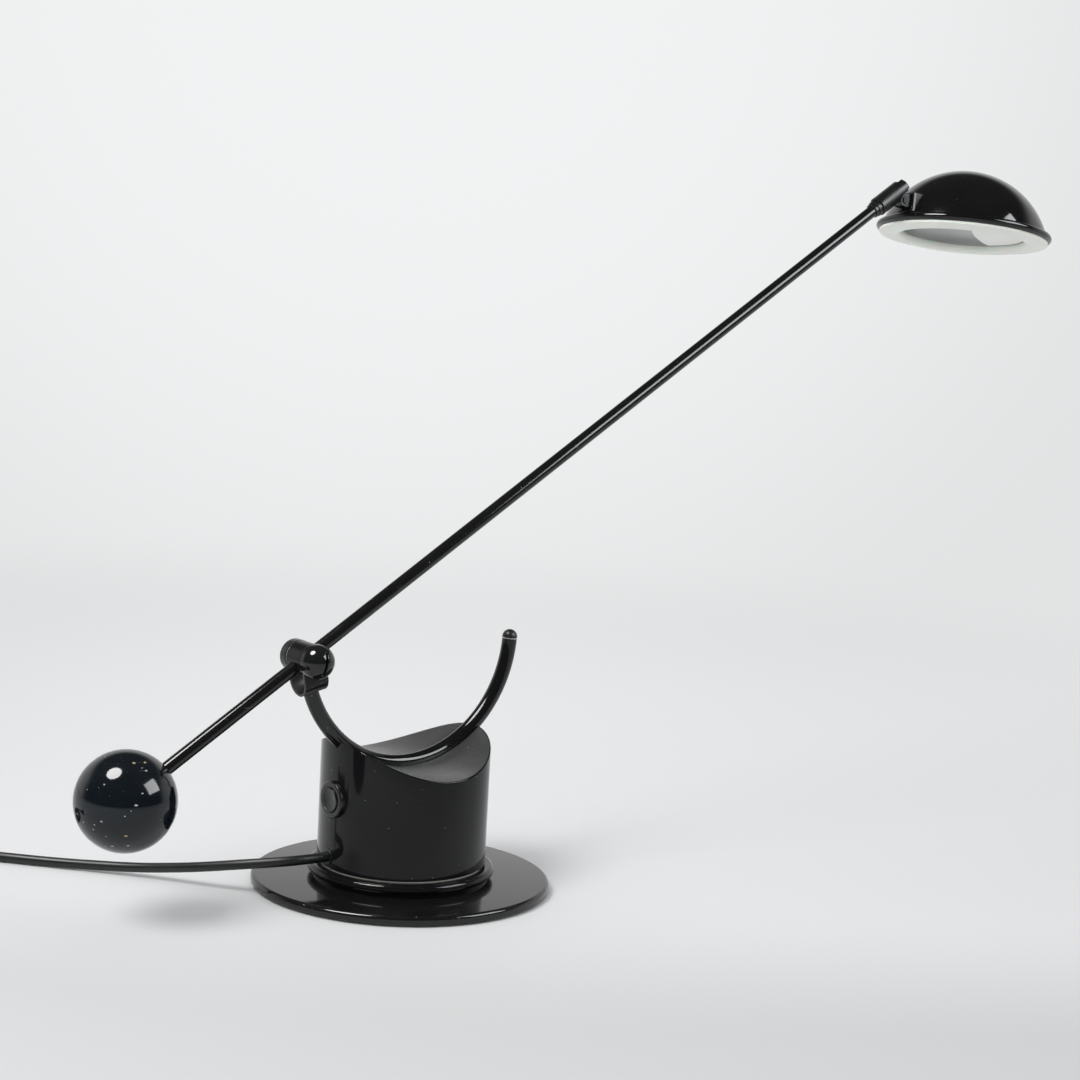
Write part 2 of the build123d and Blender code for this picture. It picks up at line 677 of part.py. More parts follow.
def knob_face():
    return -STRAP_OUT_R - SPRING_WASHER_T


def tension_knob():
    face = knob_face()
    skirt_end = face - KNOB_SKIRT
    knob = y_ring(KNOB_R, 0, skirt_end, face)
    dome = Pos(0, skirt_end, 0) * Sphere(KNOB_R)
    knob += dome - y_ring(2 * KNOB_R, 0, skirt_end, skirt_end + 2 * KNOB_R)
    knob += y_ring(STUB_R - RUNNING_FIT, 0, face - 0.5, -STUB_HOLE_FLOOR - 0.2)
    slot = Pos(0, skirt_end - KNOB_R, 0) * Box(KNOB_SLOT_W, 2 * KNOB_SLOT_DEPTH, 3 * KNOB_R)
    knob -= Rot(0, KNOB_SLOT_LEAN, 0) * slot
    return at_pivot(knob)


def rear_cap():
    low = STRAP_OUT_R + FRICTION_WASHER_T
    high = low + REAR_CAP_L
    cap = y_ring(BARREL_R, 0, low, high)
    cap = fillet(cap.edges().group_by(Axis.Y)[-1], REAR_CAP_ROUND)
    cap += y_ring(STUB_R - RUNNING_FIT, 0, STUB_HOLE_FLOOR + 0.2, low + 0.5)
    return at_pivot(cap)


def arm_tube():
    tube = ring(ARM_R, ARM_R - ARM_WALL, TUBE_LOW, ARM_FRONT_L)
    return arm_plane() * tube


def ball():
    body = Sphere(BALL_R)
    top = BALL_R + 1
    socket_floor = BALL_REACH + TUBE_LOW
    body -= rod(ARM_R + RUNNING_FIT, socket_floor, top)
    body -= rod(BALL_STUD_R + RUNNING_FIT, socket_floor - BALL_STUD_IN - 0.5, top)
    return arm_plane(-BALL_REACH) * body


def ball_stud():
    stud = rod(BALL_STUD_R, TUBE_LOW - BALL_STUD_IN, TUBE_LOW + 1)
    stud += rod(ARM_R - ARM_WALL - RUNNING_FIT, TUBE_LOW, TUBE_LOW + BALL_STUD_IN)
    return arm_plane() * stud


def stop_ring():
    high = SLEEVE_START - 0.1
    body = ring(STOP_RING_R, ARM_R + RUNNING_FIT, high - STOP_RING_W, high)
    body = chamfer(body.edges().group_by(Axis.Z)[0].sort_by(SortBy.RADIUS)[-1], 0.6)
    return arm_plane() * body


# ---------------------------------------------------------------- head joint
def rolled(shape):
    """Turns a piece about the arm, as the head hangs."""
    return shape.rotate(Axis(PIVOT, ARM_DIR), HEAD_ROLL)


def pin_centre():
    return PIVOT + ARM_DIR * PIN_ALONG - ARM_UP * PIN_BELOW


def pin_bar(radius, low, high):
    return Pos(*pin_centre()) * y_ring(radius, 0, low, high)


def head_sleeve():
    bore_end = ARM_FRONT_L + 0.5
    sleeve = rod(SLEEVE_NECK_R, SLEEVE_START, SLEEVE_START + SLEEVE_NECK_L)
    body = rod(SLEEVE_R, SLEEVE_START + SLEEVE_NECK_L, SLEEVE_END)
    sleeve += chamfer(body.edges().group_by(Axis.Z)[-1], 0.8)
    sleeve = arm_plane() * sleeve
    ears = pin_bar(EAR_R + 0.3, -SLEEVE_R - 1, SLEEVE_R + 1)
    beyond = arm_plane() * (Pos(0, 0, PIN_ALONG - 1) * Box(60, 60, 60, align=(Align.CENTER, Align.CENTER, Align.MIN)))
    relief = ears + (pin_bar(RELIEF_R, -SLEEVE_R - 1, SLEEVE_R + 1) & beyond)
    sleeve -= relief
    tongue = pin_bar(TONGUE_R, -TONGUE_T / 2, TONGUE_T / 2)
    stem_h = PIN_BELOW - 1
    stem = Pos(stem_h / 2 + 1, 0, PIN_ALONG) * Box(stem_h, TONGUE_T, 2 * TONGUE_R)
    sleeve += tongue + arm_plane() * stem
    sleeve -= arm_plane() * ring(ARM_R + RUNNING_FIT, 0, SLEEVE_START - 1, bore_end)
    sleeve -= pin_bar(PIN_R + RUNNING_FIT, -TONGUE_T, TONGUE_T)
    notch = Box(2 * SLEEVE_NOTCH_DEPTH, 3 * SLEEVE_R, SLEEVE_NOTCH_W)
    sleeve -= arm_plane() * (Pos(-SLEEVE_R, 0, SLEEVE_NOTCH_AT) * notch)
    return rolled(sleeve.solids().sort_by(SortBy.VOLUME)[-1])


def head_pin():
    reach = TONGUE_T / 2 + EAR_CLEARANCE + EAR_T
    pin = pin_bar(PIN_R, -reach, reach)
    pin += pin_bar(PIN_HEAD_R, -reach - PIN_HEAD_T, -reach) + pin_bar(PIN_HEAD_R, reach, reach + PIN_HEAD_T)
    return rolled(pin)


# ---------------------------------------------------------------- head
def head_plane():
    """The shade's frame: z up its axis, x away from the arm, its origin in the underside's edge."""
    up = Vector(sin(radians(HEAD_PITCH)), 0, cos(radians(HEAD_PITCH)))
    out = Vector(cos(radians(HEAD_PITCH)), 0, -sin(radians(HEAD_PITCH)))
    return Plane(origin=pin_centre() + out * PIN_TO_AXIS - up * PIN_ABOVE_RIM, x_dir=out, z_dir=up)


def in_head(shape):
    return rolled(head_plane() * shape)


def shade_ball(radius):
    return Pos(0, 0, -SHADE_CENTRE_DROP) * Sphere(radius)


def shade():
    cap = shade_ball(SHADE_R) - shade_ball(SHADE_R - SHADE_WALL)
    cap &= Pos(0, 0, BEAD_UP) * Box(3 * SHADE_R, 3 * SHADE_R, 2 * SHADE_R, align=(Align.CENTER, Align.CENTER, Align.MIN))
    cap += Pos(0, 0, BEAD_UP) * Torus(BEAD_RING_R, BEAD_R)
    for hole in rivet_bars(RIVET_R + RUNNING_FIT, SHADE_WALL + 4, SHADE_WALL + 4):
        cap -= hole
    return in_head(cap)


def rivet_lean():
    """The angle above the sphere's equator at which the rivets pass through the shade."""
    middle = (BRACKET_FROM + BRACKET_TO) / 2 + 2 + SHADE_CENTRE_DROP
    return degrees(asin(middle / SHADE_R))


def rivet_bars(radius, inward, outward):
    """Two bars square to the shade's wall, side by side behind the bracket."""
    lean = radians(rivet_lean())
    out = Vector(-cos(lean), 0, sin(lean))
    middle = out * SHADE_R - Vector(0, 0, SHADE_CENTRE_DROP)
    return [
        Plane(origin=middle + Vector(0, side * RIVET_SPACING / 2, 0), z_dir=out) * rod(radius, -inward, outward)
        for side in (-1, 1)
    ]


def head_bracket():
    height = BRACKET_TO - BRACKET_FROM
    block = Box(20, BRACKET_W, height, align=(Align.MIN, Align.CENTER, Align.MIN))
    block = fillet(block.edges().group_by(Axis.X)[0], BRACKET_ROUND)
    bracket = Pos(-BRACKET_FACE, 0, BRACKET_FROM) * block
    reach = PIN_TO_AXIS - BRACKET_FACE
    inner = TONGUE_T / 2 + EAR_CLEARANCE
    for side in (-1, 1):
        low = inner if side > 0 else -inner - EAR_T
        eye = Pos(-PIN_TO_AXIS, 0, PIN_ABOVE_RIM) * y_ring(EAR_R, 0, low, low + EAR_T)
        web = Pos(-PIN_TO_AXIS + reach / 2 + 0.5, low + EAR_T / 2, PIN_ABOVE_RIM) * Box(reach + 1, EAR_T, 2 * EAR_R)
        bracket += eye + web
    bracket -= Pos(-PIN_TO_AXIS, 0, PIN_ABOVE_RIM) * y_ring(PIN_R + 0.02, 0, -BRACKET_W, BRACKET_W)
    bracket -= shade_ball(SHADE_R + 0.02)
    for hole in rivet_bars(RIVET_R + RUNNING_FIT, 4, 2.6):
        bracket -= hole
    return in_head(bracket.solids().sort_by(SortBy.VOLUME)[-1])


def bracket_rivets():
    heads = rivet_bars(RIVET_HEAD_R, SHADE_WALL + 1.6, -SHADE_WALL - 0.4)
    shanks = rivet_bars(RIVET_R, SHADE_WALL + 1, 2.4)
    return [in_head(head + shank) for head, shank in zip(heads, shanks)]


def underside_ring():
    slope = UNDERSIDE_FALL / (UNDERSIDE_R - OPENING_R)
    wall_top = OPENING_WALL - UNDERSIDE_FALL
    face = [
        (UNDERSIDE_R, 0.0),
        (UNDERSIDE_R, UNDERSIDE_T),
        (SNAP_R, UNDERSIDE_T),
        (SNAP_R, SNAP_TOP),
        (SNAP_R - SNAP_T, SNAP_TOP),
        (SNAP_R - SNAP_T, UNDERSIDE_T - slope * (UNDERSIDE_R - SNAP_R + SNAP_T)),
        (OPENING_R + UNDERSIDE_T, UNDERSIDE_T - UNDERSIDE_FALL),
        (OPENING_R + UNDERSIDE_T, wall_top),
        (OPENING_R, wall_top),
        (OPENING_R, -UNDERSIDE_FALL),
    ]
    body = lathe(face)
    edges = body.edges().filter_by(GeomType.CIRCLE)
    outer = edges.filter_by(lambda e: abs(e.radius - UNDERSIDE_R) < 0.01 and e.center().Z < 0.5)
    inner = edges.filter_by(lambda e: abs(e.radius - OPENING_R) < 0.01 and e.center().Z < 0)
    return in_head(fillet(outer + inner, 0.6))


def reflector_body(extra):
    """The reflector's bowl, filled solid, grown by extra outwards."""
    low = OPENING_WALL - UNDERSIDE_FALL
    curve = ThreePointArc(
        (REFLECTOR_MOUTH_R + extra, 0, low),
        (REFLECTOR_MID_R + extra, 0, REFLECTOR_MID_UP),
        (REFLECTOR_TOP_R, 0, REFLECTOR_TOP_UP + extra),
    )
    rest = Polyline(
        (REFLECTOR_TOP_R, 0, REFLECTOR_TOP_UP + extra),
        (0, 0, REFLECTOR_TOP_UP + extra),
        (0, 0, low),
        (REFLECTOR_MOUTH_R + extra, 0, low),
    )
    return revolve(make_face(curve + rest), Axis.Z)


def reflector():
    low = OPENING_WALL - UNDERSIDE_FALL
    bowl = reflector_body(REFLECTOR_T)
    bowl += ring(REFLECTOR_FLANGE_R, 0, low, low + REFLECTOR_T)
    bowl -= reflector_body(0)
    bowl -= rod(4.0, REFLECTOR_TOP_UP - 2, REFLECTOR_TOP_UP + 4)
    return in_head(bowl)


def lamp_holder():
    low = OPENING_WALL - UNDERSIDE_FALL + 0.3
    disc = Pos(0, 0, low) * Cylinder(REFLECTOR_MOUTH_R, SHELF_T, align=(Align.CENTER, Align.CENTER, Align.MIN))
    half = REFLECTOR_MOUTH_R
    bulge_r = (half**2 + SHELF_BULGE**2) / (2 * SHELF_BULGE)
    near = Pos(SHELF_FROM - SHELF_BULGE + bulge_r, 0, 0) * rod(bulge_r, low - 1, low + HOLDER_H + 1)
    shelf = disc & near
    body = Box(HOLDER_L, HOLDER_W, HOLDER_H, align=(Align.MIN, Align.CENTER, Align.MIN))
    body = fillet(body.edges().filter_by(Axis.Z), 4.0)
    shelf += Pos(SHELF_FROM + 4, 0, low) * body
    shelf &= reflector_body(-0.3) + rod(REFLECTOR_MOUTH_R - 0.4, low, low + SHELF_T)
    bore = Pos(SHELF_FROM + 3, 0, low + HOLDER_H - 5) * Rot(0, 90, 0) * Cylinder(BULB_R + RUNNING_FIT, 8, align=(Align.CENTER, Align.CENTER, Align.MIN))
    return in_head(shelf - bore)


def bulb():
    up = OPENING_WALL - UNDERSIDE_FALL + 0.3 + HOLDER_H - 5
    glass = rod(BULB_R, 0, BULB_L - BULB_R) + Pos(0, 0, BULB_L - BULB_R) * Sphere(BULB_R)
    return in_head(Pos(SHELF_FROM + 10.9, 0, up) * Rot(0, -90, 0) * glass)


# ---------------------------------------------------------------- mains cord
def grommet():
    plane = Plane(origin=EXIT_DIR * DRUM_R + Vector(0, 0, CORD_EXIT_UP), z_dir=EXIT_DIR)
    body = plane * rod(GROMMET_R, -GROMMET_DEPTH, 0.3)
    lip = plane * rod(GROMMET_LIP_R, -1, GROMMET_LIP_T)
    lip = fillet(lip.edges().filter_by(GeomType.CIRCLE).sort_by(Axis.X)[0], 0.3)
    return body + (lip - rod(DRUM_R, 0, 2 * CORD_EXIT_UP))


def soft_path(points):
    """Straight runs joined by arcs as large as the runs allow, and the arcs' radii."""
    points = [Vector(p) for p in points]
    radii = []
    for before, here, after in zip(points, points[1:], points[2:]):
        turn = (here - before).get_angle(after - here)
        shorter = min((here - before).length, (after - here).length)
        radii.append(0.45 * shorter / tan(radians(turn / 2)))
    return FilletPolyline(*points, radius=radii), radii


def round_tube(path, radius):
    start = path @ 0
    face = Plane(origin=start, z_dir=path % 0) * Circle(radius)
    return sweep(face, path=path)


def report(name, path, solid):
    print(f"{name}: length {path.length:.1f}, volume over section times length "
          f"{solid.volume / (pi * CORD_R**2 * path.length):.4f}")


def coil_at(turns):
    """A point of the coil's centre line, after so many turns from the outside of the lower layer."""
    half = COIL_TURNS / 2
    away = abs(turns - half)
    soft = COIL_FALL_ZONE
    spread = away if away > soft else (away**2 + soft**2) / (2 * soft)
    radius = COIL_R - COIL_PITCH * (half - spread)
    share = min(max((turns - half + soft) / (2 * soft), 0), 1)
    height = CORD_R + COIL_LAYER * (share - sin(2 * pi * share) / (2 * pi))
    angle = radians(COIL_START + 360 * turns)
    return Vector(
        COIL_CENTRE[0] + radius * cos(angle), COIL_CENTRE[1] + radius * sin(angle), height
    )


def coil_heading(turns):
    step = 0.0005
    low, high = max(turns - step, 0), min(turns + step, COIL_TURNS)
    return (coil_at(high) - coil_at(low)).normalized()


def biarc(start, heading, end, end_heading):
    """Two arcs that leave start along heading and reach end along end_heading."""
    span = end - start
    both = heading + end_heading
    spread = 2 * (1 - heading.dot(end_heading))
    across = span.dot(both)
    reach = (-across + sqrt(across**2 + spread * span.dot(span))) / spread
    middle = (start + end + (heading - end_heading) * reach) * 0.5
    first = Edge.make_tangent_arc(start, heading, middle)
    turned = (middle - (start + heading * reach)).normalized()
    return [first, Edge.make_tangent_arc(middle, turned, end)]


def coil_path():
    """The coil's centre line: a straight cord's width, quarter turns as arcs, and a straight again."""
    half = COIL_TURNS / 2
    quarters = range(-int(half * 4), int(half * 4) + 1)
    stops = [0, *(half + k / 4 for k in quarters), COIL_TURNS]
    first, last = coil_at(0), coil_at(COIL_TURNS)
    edges = [Edge.make_line(first - coil_heading(0) * CORD_D, first)]
    for low, high in zip(stops, stops[1:]):
        edges += biarc(coil_at(low), coil_heading(low), coil_at(high), coil_heading(high))
    edges.append(Edge.make_line(last, last + coil_heading(COIL_TURNS) * CORD_D))
    return Wire(edges)


def coil_gap():
    """The least distance between the cord's surface and itself, a third of a turn or more apart."""
    steps = [coil_at(k / 72) for k in range(int(COIL_TURNS * 72) + 1)]
    return min(
        (a - b).length for i, a in enumerate(steps) for b in steps[i + 24:]
    ) - CORD_D


def coil_ends():
    return (
        coil_at(0) - coil_heading(0) * CORD_D,
        coil_at(COIL_TURNS) + coil_heading(COIL_TURNS) * CORD_D,
    )


def lead_points():
    """The route from the coil's end down to the plug, level at both ends."""
    first, middle, last = PLUG_LEAD_RUNS
    heading = coil_heading(COIL_TURNS)
    half_turned = heading.rotate(Axis.Z, PLUG_LEAD_TURN / 2)
    start = coil_ends()[1]
    leave = start + heading * first
    arrive = leave + half_turned * middle
    arrive = Vector(arrive.X, arrive.Y, PLUG_T / 2)
    return [start, leave, arrive, arrive + plug_heading() * last]


def plug_heading():
    return coil_heading(COIL_TURNS).rotate(Axis.Z, PLUG_LEAD_TURN)


def cord_points():
    """The route from the drum to the coil, straight at both ends."""
    start = coil_ends()[0]
    return [
        CORD_EXIT,
        CORD_EXIT + EXIT_DIR * CORD_STRAIGHT_OUT,
        *ROUTE,
        start - coil_heading(0) * COIL_RUN_IN,
        start,
    ]


def mains_cord():
    path, radii = soft_path(cord_points())
    print("cord radii", [round(r) for r in radii])
    solid = round_tube(path, CORD_R)
    report("mains_cord", path, solid)
    return solid


def cord_coil():
    path = coil_path()
    solid = round_tube(path, CORD_R)
    report("cord_coil", path, solid)
    print(f"coil's least gap to itself {coil_gap():.2f}")
    return solid


def plug_lead():
    path, radii = soft_path(lead_points())
    print("plug lead radii", [round(r) for r in radii])
    solid = round_tube(path, CORD_R)
    report("plug_lead", path, solid)
    return solid


def plug_frame():
    return Plane(origin=lead_points()[-1], x_dir=plug_heading(), z_dir=(0, 0, 1))


def plug_body():
    """A flat two-pin plug: a rounded body that narrows to the cord."""
    outline = Polyline(
        (0, CORD_R + 0.6), (PLUG_L * 0.55, PLUG_W / 2), (PLUG_L, PLUG_W / 2),
        (PLUG_L, -PLUG_W / 2), (PLUG_L * 0.55, -PLUG_W / 2), (0, -CORD_R - 0.6), close=True,
    )
    body = extrude(make_face(outline), PLUG_T / 2, both=True)
    body = fillet(body.edges().filter_by(Axis.Z).filter_by(lambda e: e.center().X > 1), PLUG_NOSE_R)
    top_and_bottom = body.edges().group_by(Axis.Z)
    body = fillet(top_and_bottom[-1] + top_and_bottom[0], 2.0)
    return plug_frame() * body


def plug_pins():
    pins = []
    for side in (-1, 1):
        pin = rod(PLUG_PIN_R, 0, PLUG_PIN_L)
        pin = fillet(pin.edges().group_by(Axis.Z)[-1], 1.2)
        pins.append(plug_frame() * (Pos(PLUG_L, side * PLUG_PIN_SPACING / 2, 0) * Rot(0, 90, 0) * pin))
    return pins


# ---------------------------------------------------------------- build
NODES = [
    foot_pad, base_plate, base_collar, collar_screws, slide_ring, swivel_nipple, swivel_nuts,
    swivel_washer, drum_shell, drum_floor, floor_screws, slide_pad, clamp_stud, clamp_washers,
    clamp_nut, transformer_cradle, transformer_core, transformer_coil, terminal_block,
    switch_bezel, switch_button, switch_body, yoke, arc_tube, end_cap, pivot_barrel, set_screw,
    friction_washers, spring_washer, tension_knob, rear_cap, arm_tube, ball, ball_stud, stop_ring,
    head_sleeve, head_pin, shade, head_bracket, bracket_rivets, underside_ring, reflector,
    lamp_holder, bulb, grommet, mains_cord, cord_coil, plug_lead, plug_body, plug_pins,
]


def solid_parts(shape):
    pieces = shape if isinstance(shape, list) else [shape]
    solids = [solid for piece in pieces for solid in piece.solids()]
    return solids[0] if len(solids) == 1 else Compound(children=solids)


os.makedirs("parts", exist_ok=True)
for make in NODES:
    export_step(solid_parts(make()), f"parts/{make.__name__}.step")
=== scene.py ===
"""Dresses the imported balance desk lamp: its finishes, its mains cord and the round studio it stands in."""

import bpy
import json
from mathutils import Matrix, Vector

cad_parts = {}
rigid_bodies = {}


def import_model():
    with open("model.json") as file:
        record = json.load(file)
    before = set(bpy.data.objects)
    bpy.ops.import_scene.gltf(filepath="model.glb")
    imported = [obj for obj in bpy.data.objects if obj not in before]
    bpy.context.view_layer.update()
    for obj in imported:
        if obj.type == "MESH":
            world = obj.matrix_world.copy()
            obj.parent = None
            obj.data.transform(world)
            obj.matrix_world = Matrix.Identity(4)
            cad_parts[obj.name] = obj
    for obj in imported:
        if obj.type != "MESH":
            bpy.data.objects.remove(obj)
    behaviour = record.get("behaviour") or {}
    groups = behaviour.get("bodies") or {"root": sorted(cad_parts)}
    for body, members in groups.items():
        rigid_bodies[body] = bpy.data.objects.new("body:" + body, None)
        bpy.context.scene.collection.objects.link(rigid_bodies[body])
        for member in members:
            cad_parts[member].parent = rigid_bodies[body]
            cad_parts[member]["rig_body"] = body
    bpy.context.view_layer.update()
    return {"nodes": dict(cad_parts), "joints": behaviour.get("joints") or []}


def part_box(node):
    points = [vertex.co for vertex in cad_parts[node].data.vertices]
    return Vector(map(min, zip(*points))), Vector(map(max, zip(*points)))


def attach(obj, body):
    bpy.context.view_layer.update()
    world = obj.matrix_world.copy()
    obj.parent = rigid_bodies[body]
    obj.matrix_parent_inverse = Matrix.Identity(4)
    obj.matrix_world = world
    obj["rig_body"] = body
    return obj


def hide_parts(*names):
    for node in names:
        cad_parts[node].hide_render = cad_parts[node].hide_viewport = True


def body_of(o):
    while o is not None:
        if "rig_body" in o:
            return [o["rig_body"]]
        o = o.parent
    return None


bl_info = {
    "name": "Balance Desk Lamp",
    "version": (1, 0, 0),
    "blender": (4, 5, 0),
    "location": "3D View > Sidebar > Desk Lamp",
    "description": "Models the finished pieces of a counterweight balance desk lamp around its packed frame",
    "category": "Object",
}

import json
from math import acos, asin, atan2, cos, degrees, hypot, pi, radians, sin, sqrt, tan

import bmesh
import bpy
from mathutils import Matrix, Vector

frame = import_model()

MM = 0.001
CORD_BODY = body_of(frame["nodes"]["mains_cord"])[0]

# ---------------------------------------------------------------- places read from the frame
JOINTS = {joint["name"]: joint for joint in frame["joints"]}
PIVOT = Vector(JOINTS["arm_tilt"]["pos_m"])
ARC_CENTRE = Vector(JOINTS["arc_slide"]["pos_m"])
ARM = Vector(JOINTS["head_turn"]["axis"]).normalized()
PIN = Vector(JOINTS["head_tilt"]["pos_m"])
PIN_SIDE = Vector(JOINTS["head_tilt"]["axis"]).normalized()
ARM_UP = ARM.cross(Vector((0, 1, 0)))
HEAD_UP = ARM.cross(PIN_SIDE)
BALL_LOW, BALL_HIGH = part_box("ball")
PLATE_LOW, PLATE_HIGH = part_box("base_plate")
COLLAR_LOW, COLLAR_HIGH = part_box("base_collar")
DRUM_LOW, DRUM_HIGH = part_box("drum_shell")
CAP_LOW, CAP_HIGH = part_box("rear_cap")

# ---------------------------------------------------------------- sizes that follow the frame's solids
STEPS = 128  # around a turned piece
PLATE_ROUND = 2.4 * MM
PLATE_LOWER_ROUND = 1.0 * MM
COLLAR_R = 53.6 * MM
COLLAR_BORE = 46 * MM
BEAD_R = 3 * MM
BEAD_OUT = 0.4 * MM
DRUM_WALL = 2.4 * MM
SADDLE_T = 6.5 * MM
DRUM_ROUND = 0.8 * MM
GROOVE_R = 5 * MM
BEZEL_R = 11.2 * MM
BEZEL_STANDS = 2.4 * MM
BEZEL_ROUND = 1 * MM
BEZEL_BORE = 7.7 * MM
SWITCH_DEPTH = 14 * MM
BUTTON_R = 7.5 * MM
BUTTON_STANDS = 0.9 * MM
BUTTON_DISH = 0.8 * MM
SWITCH_UP = 58.5 * MM
SWITCH_HOLE_R = 9.45 * MM
CORD_UP = 22.5 * MM
CORD_AZIMUTH = radians(176)
CORD_HOLE_R = 4.05 * MM
TUBE_WALL = 1.35 * MM
ARC_END = radians(356.3)
CAP_DOME_R = 4.7 * MM
CAP_NECK = 0.6 * MM
CAP_SKIRT = 0.5 * MM
SLOT_W = 3.2 * MM
SLOT_FROM = radians(250)
SLOT_TO = radians(316)
STRAP_DROP = 12.7 * MM
STRAP_OUT = 8.6 * MM
STRAP_IN = 7.1 * MM
STRAP_W = 16 * MM
EYE_R = 9.8 * MM
EYE_HOLE = 5.55 * MM
BARREL_R = 9.7 * MM
BARREL_HALF = 6.8 * MM
JOURNAL_R = 5.5 * MM
JOURNAL_END = 8.85 * MM
STUB_R = 3 * MM
STUB_FLOOR = 4.5 * MM
SET_SCREW_R = 2.05 * MM
REAR_CAP_FACE = 8.9 * MM
REAR_CAP_ROUND = 1.5 * MM
KNOB_R = 10.35 * MM
KNOB_FACE = -9.1 * MM
KNOB_SKIRT = 2.5 * MM
KNOB_SLOT = 1.8 * MM
KNOB_SLOT_DEEP = 3 * MM
KNOB_SLOT_LEAN = radians(8)
ARM_R = 4 * MM
ARM_WALL = 1 * MM
ARM_TOP = 548 * MM
BALL_REACH = 137.2 * MM
SOCKET = 2.9 * MM
STOP_TO = 525.5 * MM
STOP_W = 2.8 * MM
STOP_R = 4.9 * MM
NECK_R = 5.5 * MM
NECK_L = 3.4 * MM
SLEEVE_R = 6.5 * MM
SLEEVE_FROM = 525.6 * MM
SLEEVE_TO = 557 * MM
WEB_RELIEF = 4.8 * MM
NOTCH_FROM = 552.4 * MM
NOTCH_TURN = radians(34)
NOTCH_DEEP = 2.7 * MM
PIN_ALONG = 550.5 * MM
PIN_BELOW = 7 * MM
PIN_R = 1.5 * MM
TONGUE_T = 5 * MM
TONGUE_R = 4.3 * MM
EAR_R = 4.5 * MM
EAR_T = 1.8 * MM
EAR_GAP = 0.1 * MM
PLAY = 0.03 * MM
RELIEF_R = 8.45 * MM
RELIEF_FROM = radians(52)  # how far round from the arm's heading the head's bracket sweeps
HEAD_FOLD = radians(31.81 + 9.02)  # between the arm and the underside
PIN_TO_AXIS = 61.3 * MM
PIN_ABOVE_RIM = 15.1 * MM
SHADE_WALL = 1.4 * MM
SHADE_DROP = 13.76 * MM
LIP_R = 2.6 * MM
LIP_RING_R = 58.3 * MM
LIP_UP = 4.4 * MM
BRACKET_W = 16 * MM
BRACKET_FACE = 56.4 * MM
BRACKET_FROM = 7.6 * MM
BRACKET_TO = 21.6 * MM
UNDER_R = 58.6 * MM
OPENING_R = 43 * MM
UNDER_FALL = 3.2 * MM
UNDER_T = 1.5 * MM
OPENING_WALL = 6.3 * MM
SNAP_R = 55.3 * MM
SNAP_T = 1.3 * MM
SNAP_TOP = 4.6 * MM
BOWL_T = 1 * MM
BOWL_MOUTH_R = 42.4 * MM
BOWL_FLANGE_R = 50 * MM
BOWL_MID_R = 34 * MM
BOWL_MID_UP = 22 * MM
BOWL_TOP_R = 12 * MM
BOWL_TOP_UP = 31 * MM
SHELF_FROM = 13 * MM
SHELF_T = 1.4 * MM
SHELF_BULGE = 6 * MM
HOLDER_L = 17 * MM
HOLDER_W = 24 * MM
HOLDER_H = 13 * MM
BULB_R = 4.5 * MM
BULB_L = 24 * MM

# ---------------------------------------------------------------- the cord's route
CORD_R = 3 * MM
GROMMET_R = 4 * MM
GROMMET_LIP_R = 4.8 * MM
GROMMET_LIP = 0.6 * MM
CORD_STRAIGHT_OUT = 24.5 * MM
ROUTE = [
    (-0.0970, 0.0245, 0.0185),
    (-0.1145, 0.0520, 0.0120),
    (-0.1325, 0.0870, 0.0052),
    (-0.1660, 0.1260, 0.0030),
]
COIL_RUN_IN = 36 * MM
COIL_CENTRE = Vector((-0.2625, 0.1640, 0))
COIL_R = 46 * MM
COIL_START = radians(42)
COIL_TURNS = 6.25
COIL_PITCH = 6.7 * MM
COIL_LAYER = 6.5 * MM
COIL_CLIMB = 0.25
COIL_POINTS = 16  # for each turn
LEAD_RUNS = (18 * MM, 26 * MM, 18 * MM)
LEAD_TURN = radians(12)
PLUG_T = 13.7 * MM
PLUG_L = 35 * MM
PLUG_W = 26 * MM
PLUG_NOSE = 5 * MM

# ---------------------------------------------------------------- light of the room
ROOM_LIGHT = 0.60
ROOM_LOW = 0.88  # on what scatters light
ROOM_PALE = 0.80  # in reflections, beyond the lamp
ROOM_DARK = 0.045  # in reflections, behind the camera and overhead
OVERHEAD_FROM = (-0.51, 0.08, 0.86)
SHADOW_FROM = (-0.70, -0.10, 0.707)
OVERHEAD_POWER = 18.0
OVERHEAD_GLARE = 34.0
SIDE_FROM = (0.54, -0.66, 0.52)
SIDE_POWER = 3.0
SIDE_GLARE = 25.0
# The floor's colour is lighter far off and darker near the camera: painted light and shade on the floor.
FLOOR_PAINTED_LIGHT_FAR = 1.19
FLOOR_PAINTED_SHADE_NEAR = 0.79
# A painted pool of light on the backdrop: its tone in the middle of the view and at the edge.
BACKDROP_MIDDLE = 1.10
BACKDROP_EDGE = 0.955
SHELF_TURN = radians(-52)  # the lamp holder's side of the opening, from the side away from the arm


